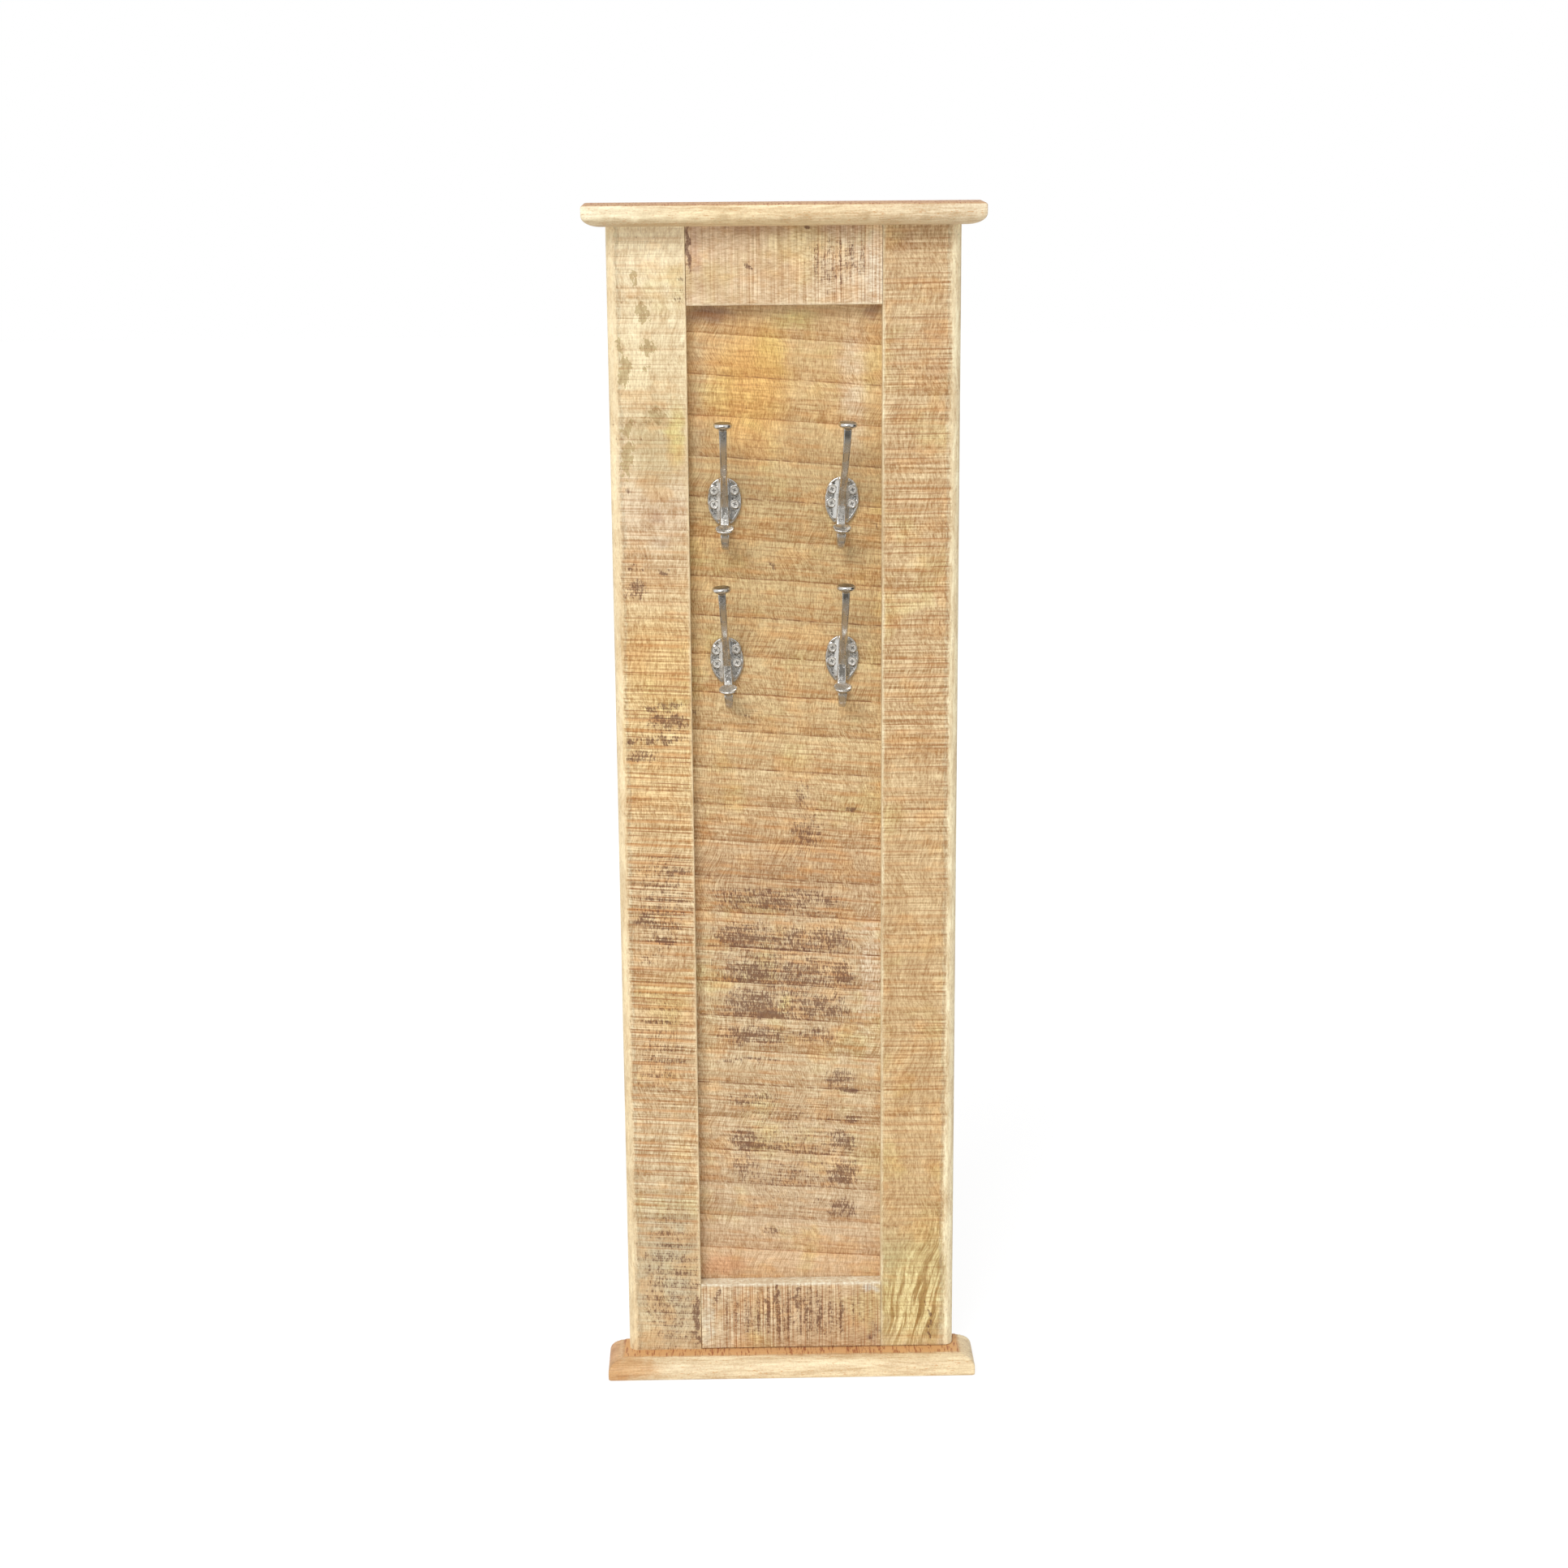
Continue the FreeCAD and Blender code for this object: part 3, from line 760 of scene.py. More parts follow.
# Rails: the frame's two cross pieces, of the same sawn wood with the grain lying across the rack.
# The saw crossed the grain here too, so its lines stand upright. Tenons at both ends go into the stiles.

rail_pitch = 11.0
rail_phases = [0.0, 0.15, 0.3, 0.45, 0.6, 0.75, 0.9, 0.95]
rail_rows = 38
rail_past_side = 2.0
shoulder_room = 0.2
joint_gap = 0.25
joint_wall = 0.02
joint_depth = 4.0
no_edge = 50.0
rail_look = {
    "fibre": (6.5, 1.6, 1.6),
    "sway": 16.0,
    "fray": 0.3,
    "marks": (5.0, 3.2, 1.2),
    "reach": 60.0,
    "shade": 0.1,
    "edge_width": 8.0,
}


def sawn_rail(node, step, foot_gap, inner_edge, seed):
    """Rail with upright saw strokes, and a fine open joint at each shoulder."""
    low, high = corners(node)
    shoulder = abs(corners("right_stile")[0][0]) - joint_gap
    foot = low[2] + foot_gap if foot_gap else low[2] - rail_past_side
    rows = np.linspace(foot, high[2] + rail_past_side, rail_rows)
    counts = stroke_rows(-shoulder / rail_pitch, shoulder / rail_pitch, rail_phases)
    counts = counts[abs(counts * rail_pitch) < shoulder - shoulder_room]
    places = counts * rail_pitch
    depth = sunk(counts, step, seed)
    ends = np.array([shoulder, shoulder + joint_wall, high[0] + rail_past_side])
    sides = np.array([depth[0], joint_depth, joint_depth])
    places = np.concatenate([-ends[::-1], places, ends])
    depth = np.concatenate([sides[::-1], depth, sides])
    face = np.empty((len(places), len(rows), 3))
    face[..., 0] = places[:, None]
    face[..., 2] = rows[None, :]
    face[..., 1] = low[1] + depth[:, None]
    piece = fitted(blank_from_face(node.replace("rail", "crosspiece"), face, blank_back), node)
    points = points_of(piece.data)
    mark(piece.data, "stroke", points[:, 0] / rail_pitch)
    mark(piece.data, "edge", np.full(len(points), no_edge))
    mark(piece.data, "arris", abs(points[:, 2] - inner_edge))
    return piece


top_inner_edge = corners("top_rail")[0][2]
top_rail = sawn_rail("top_rail", step=0.12, foot_gap=0, inner_edge=top_inner_edge, seed=21)
top_tones = [(-94, tone(232, 198, 158)), (0, tone(230, 196, 152)), (94, tone(236, 208, 170))]
top_patches = [
    # This first patch is painted shade: a darker strip along the rail's top edge, under the cornice.
    (0, 58, 110, 5, tone(196, 156, 122), 0.6),
    (-84, 30, 5, 30, tone(196, 150, 130), 0.35),
    (86, 20, 7, 40, tone(240, 216, 182), 0.6),
]
top_stains = [
    (-91, 40, 2.5, 22, 0.95),
    (52, 24, 32, 26, 0.4),
    (-33, 22, 5, 1.6, 1.0),
    (21, 56, 4, 3, 0.9),
]
top_coarse = [(-10, 0.5), (30, 0.9)]
mark_wood(top_rail.data, 0, frame_front, top_tones, top_patches, top_stains, top_coarse)
top_wood = sawn_wood("top_rail_wood", groove=0.6, stripe=0.25, ledge=0.4, edge_tone=cream, **rail_look)
dressed(top_rail, "top_rail", top_wood)

bottom_inner_edge = corners("bottom_rail")[1][2]
bottom_rail = sawn_rail("bottom_rail", step=0.12, foot_gap=1.2, inner_edge=bottom_inner_edge, seed=22)
bottom_tones = [(-94, tone(224, 196, 154)), (-60, tone(214, 182, 142)), (94, tone(212, 176, 132))]
bottom_patches = [
    (-87, -1061, 6, 36, tone(222, 206, 176), 0.6),
    (84, -1033, 9, 4, tone(216, 206, 190), 0.8),
    (88, -1083, 6, 15, tone(150, 112, 106), 0.6),
]
bottom_stains = [
    (0, -1060, 84, 32, 0.4),
    (-75, -1037, 3, 9, 0.7),
    (-25, -1052, 3, 22, 0.6),
    (-14, -1038, 1.6, 12, 0.95),
    (7, -1046, 1.6, 18, 0.8),
    (16, -1054, 1.6, 24, 0.6),
    (31, -1060, 1.6, 24, 0.7),
    (52, -1062, 1.2, 32, 0.7),
    (5, -1045, 4, 1.6, 1.0),
    (88, -1083, 5, 14, 0.5),
]
mark_wood(bottom_rail.data, 0, frame_front, bottom_tones, bottom_patches, bottom_stains)
# The bottom rail's paler edge tone lies on its upward inner edge, partly as a painted highlight.
bottom_wood = sawn_wood(
    "bottom_rail_wood",
    groove=0.8,
    stripe=0.15,
    ledge=0.6,
    edge_tone=tone(255, 244, 214),
    **rail_look,
)
dressed(bottom_rail, "bottom_rail", bottom_wood)

# Panel: one wide board of the same wood, set in the frame's rebate and screwed there from behind.
# A slow feed left saw strokes about 38 mm apart that fall to the right, each ending in a ledge.

panel_first_ledge = -49.0
panel_pitch = 38.03
panel_slope = math.tan(math.radians(4.25))
panel_bow = 0.31
panel_bow_length = 875.0
panel_phases = [0.0, 0.025, 0.08, 0.2, 0.32, 0.44, 0.56, 0.68, 0.8, 0.9, 0.96, 0.985]
panel_column_step = 3.0
panel_past_end = 16.0
panel_spare_fall = 40.0
panel_step = 0.5
panel_wave_length = 30.0


def panel_strokes(fall):
    """Count of saw strokes at a distance below the first ledge. The feed slowed and quickened once."""
    return fall / panel_pitch - panel_bow * np.sin(math.pi * fall / panel_bow_length)


panel_low, panel_high = corners("back_panel")
panel_width = panel_high[0] - panel_low[0]
panel_column_count = round(panel_width / panel_column_step)
panel_columns = np.linspace(panel_low[0] - past_side, panel_high[0] + past_side, panel_column_count)
least_fall = panel_first_ledge - panel_high[2] - panel_spare_fall
fine_falls = np.arange(least_fall, panel_first_ledge - panel_low[2] + panel_spare_fall)
panel_counts = stroke_rows(panel_strokes(fine_falls[0]), panel_strokes(fine_falls[-1]), panel_phases)
panel_falls = np.interp(panel_counts, panel_strokes(fine_falls), fine_falls)
panel_face = np.empty((len(panel_counts), len(panel_columns), 3))
panel_face[..., 0] = panel_columns[None, :]
panel_face[..., 2] = panel_first_ledge - panel_falls[:, None] - panel_slope * panel_columns[None, :]
panel_relief = sunk(panel_counts, panel_step, seed=31)[:, None]
panel_wave = saw_wave * (1 + ripple(panel_columns, panel_wave_length, seed=32)[None, :])
panel_face[..., 1] = panel_low[1] + panel_relief + panel_wave
panel_face = panel_face[
    (panel_face[..., 2].max(axis=1) > panel_low[2] - panel_past_end)
    & (panel_face[..., 2].min(axis=1) < panel_high[2] + panel_past_end)
]
panel = fitted(blank_from_face("panel_board", panel_face, blank_back), "back_panel")
panel_points = points_of(panel.data)
panel_fall = panel_first_ledge - panel_points[:, 2] - panel_slope * panel_points[:, 0]
mark(panel.data, "stroke", panel_strokes(panel_fall))
mark(panel.data, "edge", np.full(len(panel_points), no_edge))
mark(panel.data, "arris", np.full(len(panel_points), no_edge))
panel_tones = [
    (-1030, tone(218, 180, 138)),
    (-945, tone(212, 180, 140)),
    (-800, tone(214, 182, 138)),
    (-690, tone(208, 176, 134)),
    (-570, tone(210, 173, 128)),
    (-466, tone(217, 182, 131)),
    (-290, tone(207, 171, 118)),
    (-200, tone(202, 168, 117)),
    (-90, tone(226, 186, 130)),
    (-20, tone(214, 176, 126)),
]
panel_coarse = [
    (-1030, 0.45),
    (-930, 0.5),
    (-840, 0.65),
    (-560, 0.85),
    (-520, 0.65),
    (-400, 0.7),
    (-250, 0.65),
    (-130, 0.5),
    (-20, 0.45),
]
panel_patches = [
    # The first two patches are painted shade along the panel's top, under the top rail at its left and right.
    (-70, -25, 26, 8, tone(142, 104, 88), 0.7),
    (86, -23, 9, 6, tone(142, 104, 88), 0.6),
    (10, -30, 22, 9, tone(204, 182, 112), 0.6),
    (-34, -94, 38, 60, tone(236, 178, 100), 0.85),
    (-14, -62, 16, 26, tone(232, 190, 104), 0.6),
    (-84, -113, 7, 78, tone(196, 168, 128), 0.5),
    (66, -95, 13, 60, tone(232, 202, 164), 0.75),
    (0, -1002, 92, 20, tone(224, 180, 134), 0.3),
    (-69, -1011, 25, 12, tone(214, 148, 100), 0.6),
    (-4, -722, 5, 8, tone(236, 210, 140), 0.8),
    (0, -590, 94, 34, tone(190, 152, 110), 0.55),
    (84, -700, 11, 80, tone(232, 206, 172), 0.7),
    (-82, -720, 11, 90, tone(220, 192, 144), 0.6),
]
panel_stains = [
    (-7, -612, 76, 14, 0.5),
    (0, -890, 70, 70, 0.3),
    (-60, -604, 18, 5, 0.6),
    (-21, -606, 18, 4, 0.62),
    (35, -613, 18, 6, 0.56),
    (-46, -649, 32, 15, 0.6),
    (40, -653, 27, 13, 0.58),
    (-4, -690, 76, 70, 0.46),
    (-38, -689, 36, 15, 0.56),
    (54, -690, 14, 16, 0.66),
    (-39, -723, 36, 18, 0.6),
    (-18, -735, 18, 6, 0.85),
    (36, -726, 32, 16, 0.58),
    (-37, -757, 38, 12, 0.64),
    (33, -758, 32, 10, 0.5),
    (-39, -784, 38, 3, 0.66),
    (50, -804, 20, 11, 0.52),
    (62, -818, 12, 3, 0.8),
    (-34, -828, 32, 9, 0.52),
    (65, -848, 9, 5, 0.6),
    (-46, -872, 20, 14, 0.56),
    (53, -872, 17, 13, 0.62),
    (-47, -898, 16, 16, 0.54),
    (55, -908, 20, 18, 0.6),
    (57, -948, 20, 12, 0.56),
    (-18, -973, 12, 7, 0.45),
    (-91, -416, 3, 5, 0.8),
    (-37, -423, 5, 3, 0.6),
    (13, -500, 9, 14, 0.48),
    (66, -518, 7, 3, 0.6),
    (20, -540, 22, 26, 0.42),
    (-11, -269, 3, 3, 0.7),
    (-37, -372, 3, 3, 0.7),
    (90, -232, 3, 3, 0.7),
]
mark_wood(panel.data, 2, panel_low[1], panel_tones, panel_patches, panel_stains, panel_coarse)
panel_wood = sawn_wood(
    "panel_wood",
    fibre=(0.9, 0.9, 8.0),
    sway=40.0,
    fray=0.78,
    marks=(17.0, 7.3, 3.7),
    reach=27.0,
    shade=0.38,
    groove=0.65,
    stripe=0.5,
    ledge=1.0,
    edge_width=8.0,
    edge_tone=cream,
)
dressed(panel, "back_panel", panel_wood)

# Screws that hold the panel and the hangers: countersunk cross-heads of bright zinc-plated steel.
# They are driven from behind, so only their heads show, flush with the wood or the plate.


def plated_steel_group():
    """Fine scratches and a slow change of gloss on plated steel."""
    group, takes = shader_group("plated_steel", {"Size": (0.4, 0.4, 0.4)})
    slow = scaled(group, grain_cells(group, takes["Size"], 20), 0.08)
    scratch = grain_noise(group, takes["Size"], 0, 4, 0.7)
    return giving(group, {"Scratch": scratch, "Gloss": noise(group, slow, 2)})


plated_steel = plated_steel_group()
painted_recess_shade = tone(150, 148, 144)


def steel(name, bright, dull, size):
    """Plated steel that varies between a bright and a dull tone."""
    material, tree = new_material(name)
    marks = effect(tree, plated_steel, Size=size)
    colour = painted(tree, (*dull, 1), bright, ramp(tree, marks["Gloss"], 0.3, 0.7))
    # Painted shade: the cross recess of a screw head is painted darker.
    colour = painted(tree, colour, painted_recess_shade, ramp(tree, marked(tree, "recess"), 0.3, 0.9))
    roughness = weighed(tree, 0.42, (marks["Gloss"], 0.2), (marks["Scratch"], 0.1))
    finished(tree, colour, roughness, marks["Scratch"], depth=0.02, Metallic=1.0)
    return material


def paint_solids(nodes, material):
    """Gives a material to nodes that show just as their solids are."""
    for node in nodes:
        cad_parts[node].data.materials.clear()
        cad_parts[node].data.materials.append(material)


screw_steel = steel("screw_steel", tone(252, 251, 248), tone(226, 225, 221), size=(0.4, 0.4, 0.4))
paint_solids(("panel_screws", "hanger_screws"), screw_steel)

# Cornice and plinth: one moulding used both ways up, planed and sanded smooth, then waxed.
# Its front and ends are rounded over on the side that faces the frame, and dowels hold it there.

board_voxel = 1.2
board_softening = 3
hand_wave = 0.12
hand_wave_length = 45.0
hand_wave_depth = 6.0
rounded_depth = 12.0
tick_brown = tone(158, 92, 60)


def smoothed_copy(node, name, voxel, rounds):
    """Copy of a node with its edges softened, as sanding or a casting's skin leaves them."""
    piece = new_piece(name, closed_copy(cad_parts[node].data, name))
    skin = piece.modifiers.new("skin", "REMESH")
    skin.mode = "VOXEL"
    skin.voxel_size = voxel * millimetre
    softened = piece.modifiers.new("softened", "SMOOTH")
    softened.iterations = rounds
    settled(piece)
    piece.data.shade_smooth()
    return piece


def move_points(mesh, points):
    """Puts the points of a mesh at new places, in millimetres."""
    mesh.vertices.foreach_set("co", (points * millimetre).ravel())


def sanded_board(node, seed):
    """Board whose edges are softened by sanding, with a slight waviness left by hand."""
    piece = smoothed_copy(node, node + "_board", board_voxel, board_softening)
    points = points_of(piece.data)
    low, high = corners(node)
    wave = hand_wave * (1 + ripple(points[:, 0], hand_wave_length, seed))
    points[:, 1] += wave * (points[:, 1] < low[1] + hand_wave_depth)
    move_points(piece.data, np.clip(points, low, high))
    return piece


def sanded_wood(name, sawn_tone):
    """Smooth mango wood: long soft fibres and flecks, with ticks where a face was left as the saw cut it."""
    material, tree = new_material(name)
    fibres = effect(tree, wood_fibres, Size=(22.0, 1.8, 1.8))
    flecks = effect(tree, wood_fibres, Size=(4.5, 1.0, 1.0))
    drift = centred(tree, grain_noise(tree, (9, 3, 3), 70, 2))
    sawn = ramp(tree, weighed(tree, marked(tree, "rough"), (drift, 0.7)), 0.15, 0.85)
    brink = ramp(tree, reckon(tree, "ABSOLUTE", centred(tree, sawn)), 0.5, 0.2)
    ticks = product(tree, ramp(tree, grain_noise(tree, (1.8, 14.0, 14.0), 20, 2), 0.5, 0.66), sawn)
    grain = weighed(tree, 0.09, (fibres["Fibre"], 0.32), (fibres["Figure"], 0.36), (flecks["Mottle"], 0.14))
    colour = washed(tree, marked(tree, "tint", "Color"), grain)
    colour = painted(tree, colour, saw_orange, product(tree, flecks["Pores"], 0.6))
    colour = painted(tree, colour, sawn_tone, product(tree, sawn, 0.85))
    colour = painted(tree, colour, tick_brown, product(tree, ticks, 0.85))
    colour = painted(tree, colour, heart_brown, product(tree, brink, 0.15))
    roughness = weighed(tree, 0.42, (fibres["Fibre"], 0.14), (sawn, 0.15))
    height = weighed(tree, 0.0, (fibres["Fibre"], 0.4), (flecks["Pores"], -0.5), (ticks, -1.0))
    finished(tree, colour, roughness, height, depth=0.08, Specular_IOR_Level=0.4)
    return material


def near_face(distance, depth):
    """1 on a face, falling to 0 at a depth behind it."""
    return np.clip(1 - distance / depth, 0, 1)


cornice_sawn_depth = 1.6
cornice = sanded_board("cornice", seed=41)
cornice_low, cornice_high = corners("cornice")
cornice_points = points_of(cornice.data)
cornice_tones = [
    (cornice_low[0], tone(252, 230, 188)),
    (-60, tone(249, 217, 165)),
    (60, tone(254, 224, 175)),
    (cornice_high[0], tone(255, 233, 193)),
]
# Painted shade: a darker band along the cornice's rounded underside.
underside_shade_patches = [(0, cornice_low[2] - 1, 600, 11, tone(206, 172, 122), 0.6)]
mark_wood(cornice.data, 0, cornice_low[1] + rounded_depth, cornice_tones, underside_shade_patches, [])
mark(cornice.data, "rough", near_face(cornice_high[2] - cornice_points[:, 2], cornice_sawn_depth))
dressed(cornice, "cornice", sanded_wood("cornice_wood", tone(196, 148, 104)))

plinth_sawn_depth = 4.0
plinth_sawn_inset = 15.0
plinth_sawn_fade = 7.0
plinth = sanded_board("plinth", seed=42)
plinth_low, plinth_high = corners("plinth")
plinth_points = points_of(plinth.data)
plinth_tones = [
    (plinth_low[0], tone(212, 156, 108)),
    (plinth_low[0] + 10, tone(224, 174, 122)),
    (plinth_low[0] + 22, tone(244, 218, 174)),
    (0, tone(246, 218, 172)),
    (plinth_high[0], tone(245, 216, 168)),
]
heart_patches = [
    (plinth_low[0] + 20, plinth_low[2] + 12, 34, 11, tone(222, 172, 116), 0.9),
    (plinth_low[0] + 8, plinth_low[2] + 4, 18, 10, tone(214, 164, 110), 0.8),
]
mark_wood(plinth.data, 0, plinth_low[1] + rounded_depth, plinth_tones, heart_patches, [])
inset = np.minimum(plinth_points[:, 1] - plinth_low[1], plinth_high[0] - abs(plinth_points[:, 0]))
on_top = near_face(plinth_high[2] - plinth_points[:, 2], plinth_sawn_depth)
well_in = np.clip((inset - plinth_sawn_inset) / plinth_sawn_fade + 0.5, 0, 1)
mark(plinth.data, "rough", well_in * np.minimum(2 * on_top, 1))
dressed(plinth, "plinth", sanded_wood("plinth_wood", tone(216, 162, 104)))

# Dowels: plain turned hardwood pegs, four above and four below, glued into the frame's ends.
# They lie wholly inside the wood.


def turned_wood():
    """Plain pale hardwood with its grain along the peg."""
    material, tree = new_material("dowel_wood")
    fibres = effect(tree, wood_fibres, Size=(0.6, 0.6, 9.0))
    light = weighed(tree, 0.85, (fibres["Fibre"], 0.15), (fibres["Figure"], 0.12))
    colour = scaled(tree, painted(tree, (*beige, 1), straw, fibres["Figure"]), light)
    roughness = weighed(tree, 0.5, (fibres["Fibre"], 0.2))
    finished(tree, colour, roughness, fibres["Fibre"], depth=0.05)
    return material


paint_solids(("cornice_dowels", "plinth_dowels"), turned_wood())

# Keyhole hangers: two pressed zinc-plated plates let in flush with the backs of the stiles.
# Each is held by two screws, and its keyhole drops over a screw in the wall.

hanger_steel = steel("hanger_steel", tone(204, 203, 198), tone(150, 149, 145), size=(0.6, 0.6, 3.0))
paint_solids(("hanger_plate_left", "hanger_plate_right"), hanger_steel)

# Hooks: four double coat hooks, sand-cast in aluminium, with the rim, rib, arms and heads polished by hand.
# The plate's sunk field keeps the grain of the sand. Each hook is held by four screws.

casting_voxel = 0.45
casting_softening = 2
field_level = 2.7
field_reach = 0.45
field_grain = 0.15
rib_level = 5.4
rib_half_below = 4.6
rib_half_above = 3.7
rib_end = 18.0
flank_fall = 0.65
rib_end_fall = 0.5
neck_shade_start = 55.0
neck_shade_share = 0.7
knob_foot = 70.0
knob_rim = 74.0
back_depth = 0.2
top_facing = 0.7
top_facing_fade = 0.2
field_margin = 1.4


def normals_of(mesh):
    """Direction in which the surface faces at every point."""
    flat = np.empty(len(mesh.vertices) * 3)
    mesh.vertex_normals.foreach_get("vector", flat)
    return flat.reshape(-1, 3)


def bend(mesh):
    """How far the surface bends at every point: below 0 on an outer edge, above 0 in an inner corner."""
    points = points_of(mesh)
    ends = np.empty(len(mesh.edges) * 2, int)
    mesh.edges.foreach_get("vertices", ends)
    ends = ends.reshape(-1, 2)
    number = np.maximum(np.bincount(ends.ravel(), minlength=len(points)), 1)[:, None]

    def mean_of_neighbours(values):
        total = np.zeros_like(values)
        np.add.at(total, ends[:, 0], values[ends[:, 1]])
        np.add.at(total, ends[:, 1], values[ends[:, 0]])
        return total / number

    rise = ((mean_of_neighbours(points) - points) * normals_of(mesh)).sum(axis=1)[:, None]
    return mean_of_neighbours(mean_of_neighbours(rise))[:, 0] / casting_voxel


def plate_places(points, out):
    """Place of every point across and up the hook's plate, whose flat back tells its place and lean."""
    flat = points[:, [0, 2]]
    back = flat[out < back_depth]
    upright = np.linalg.svd(back - back.mean(axis=0), full_matrices=False)[2][0]
    upright *= np.sign(upright[1])
    flat = flat - back.mean(axis=0)
    return flat @ np.array([upright[1], -upright[0]]), flat @ upright


def with_flanks(out, across, up):
    """Distance out from the panel with the rib's sides drawn down to the plate in an even slope."""
    half = np.interp(up, [-rib_end, rib_end], [rib_half_below, rib_half_above])
    slope = rib_level - flank_fall * np.maximum(abs(across) - half, 0)
    slope = slope - rib_end_fall * np.maximum(abs(up) - rib_end, 0)
    return np.where(out > field_level - field_reach, np.maximum(out, slope), out)


def cast_hook(node, seed):
    """Hook with the soft fillets of a casting, and a grainy field on its plate."""
    piece = smoothed_copy(node, node.replace("hook", "coat_hook"), casting_voxel, casting_softening)
    points = points_of(piece.data)
    out = panel_low[1] - points[:, 1]
    across, up = plate_places(points, out)
    points[:, 1] = panel_low[1] - with_flanks(out, across, up)
    move_points(piece.data, points)
    piece.data.update()
    mark(piece.data, "bend", bend(piece.data))
    # Painted shade: the knob's upward faces and the neck just under the knob are marked to be painted darker
    # grey.
    upward = normals_of(piece.data)[:, 2]
    on_top = np.clip((upward - top_facing) / top_facing_fade, 0, 1) * (up > knob_foot)
    on_neck = neck_shade_share * np.clip((up - neck_shade_start) / (knob_foot - neck_shade_start), 0, 1) * (up < knob_rim)
    mark(piece.data, "painted_knob_shade", np.maximum(on_top, on_neck))
    field = np.clip(field_margin - abs(panel_low[1] - points[:, 1] - field_level) / field_reach, 0, 1)
    mark(piece.data, "field", field)
    points[:, 1] += field_grain * field * np.random.default_rng(seed).uniform(-1, 1, len(points))
    move_points(piece.data, points)
    return piece


def cast_metal():
    """Aluminium with painted highlights on outer edges, painted shade in corners, a dull grainy field and
    casting skin.
    """
    material, tree = new_material("cast_metal")
    field = ramp(tree, marked(tree, "field"), 0.2, 0.8)
    corner = ramp(tree, marked(tree, "bend"), 0.03, 0.14)
    outer = ramp(tree, marked(tree, "bend"), -0.05, -0.16)
    grain = grain_noise(tree, (1.0, 1.0, 1.0), 0, 2)
    pits = ramp(tree, grain_noise(tree, (1.2, 1.2, 1.2), 30, 2), 0.5, 0.6)
    skin = ramp(tree, grain_noise(tree, (13, 13, 13), 45, 2), 0.5, 0.62)
    haze = grain_noise(tree, (5, 5, 5), 60, 3)
    bright = tone(210, 208, 203)
    dull = tone(200, 199, 195)
    pit_dark = tone(76, 73, 69)
    painted_corner_shade = tone(58, 54, 50)
    painted_edge_highlight = tone(236, 235, 231)
    painted_shade_grey = tone(112, 108, 103)
    unpolished = reckon(tree, "MAXIMUM", field, product(tree, skin, 0.45))
    colour = painted(tree, (*bright, 1), dull, field)
    colour = painted(tree, colour, pit_dark, product(tree, pits, unpolished, 0.9))
    # Painted shade darkens inner corners and a painted highlight lightens outer edges, both by how the surface
    # bends.
    colour = painted(tree, colour, painted_corner_shade, product(tree, corner, 0.85))
    colour = painted(tree, colour, painted_edge_highlight, product(tree, outer, 0.8))
    # Painted shade on the knob's top and on the neck under it.
    colour = painted(tree, colour, painted_shade_grey, product(tree, marked(tree, "painted_knob_shade"), 0.8))
    roughness = weighed(tree, 0.14, (haze, 0.16), (unpolished, 0.22))
    height = product(tree, reckon(tree, "SUBTRACT", grain, pits), weighed(tree, 0.04, (unpolished, 1.0)))
    finished(tree, colour, roughness, height, depth=0.4, Metallic=1.0)
    return material


hook_metal = cast_metal()
hook_nodes = ("hook_upper_left", "hook_upper_right", "hook_lower_left", "hook_lower_right")
for hook_seed, hook in enumerate(hook_nodes):
    dressed(cast_hook(hook, hook_seed), hook, hook_metal)

# Hook screws: sixteen countersunk cross-heads of the same plated steel, flush with the bosses on the plates.
# They were driven by hand, so each cross stands at its own angle, and its recess is painted darker as shade.

screw_sharp_angle = math.radians(30)


def turned_screws(node, seed):
    """The node's screws, each turned about its own axis."""
    mesh = closed_copy(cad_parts[node].data, "hook_screw_set")
    work = bmesh.new()
    work.from_mesh(mesh)
    chance = np.random.default_rng(seed)
    waiting = set(work.verts)
    while waiting:
        reached = [min(waiting, key=lambda vert: vert.index)]
        waiting.discard(reached[0])
        for vert in reached:
            for edge in vert.link_edges:
                other = edge.other_vert(vert)
                if other in waiting:
                    waiting.discard(other)
                    reached.append(other)
        lowest = Vector(map(min, *[vert.co for vert in reached]))
        highest = Vector(map(max, *[vert.co for vert in reached]))
        turn = Matrix.Rotation(chance.uniform(0, math.pi / 2), 3, "Y")
        bmesh.ops.rotate(work, verts=reached, cent=(lowest + highest) / 2, matrix=turn)
    work.to_mesh(mesh)
    work.free()
    mesh.shade_smooth()
    mesh.set_sharp_from_angle(angle=screw_sharp_angle)
    level = points_of(mesh)[:, 1]
    mark(mesh, "recess", np.clip(level - level.min(), 0, 1))
    return new_piece("hook_screw_set", mesh)


dressed(turned_screws("hook_screws", seed=51), "hook_screws", screw_steel)

# Floor, light and camera: a white studio with a broad soft lamp high on the left, seen from a little above.
# A cloth on the floor, a dim wall behind the camera and dark cards and mats at the sides light nothing:
# they only show in the metal, as the things that stand about in a real studio do.

sky_fill = 0.66
floor_white = 0.93
floor_seen = 0.22
floor_glow = 0.84


def seen_directly(tree):
    """1 for what the camera sees, straight or mirrored in metal, and 0 for light on its way to a surface."""
    path = put(tree, "LightPath").outputs
    mirrored = reckon(tree, "MAXIMUM", path["Is Glossy Ray"], path["Is Transmission Ray"])
    return reckon(tree, "MAXIMUM", path["Is Camera Ray"], mirrored)


world = bpy.data.worlds.new("studio")
world.use_nodes = True
world.node_tree.nodes.clear()
sky_strength = weighed(world.node_tree, sky_fill, (seen_directly(world.node_tree), 1 - sky_fill))
sky = put(world.node_tree, "Background", {"Color": (1, 1, 1, 1), "Strength": sky_strength})
put(world.node_tree, "OutputWorld", {"Surface": sky.outputs[0]})
bpy.context.scene.world = world

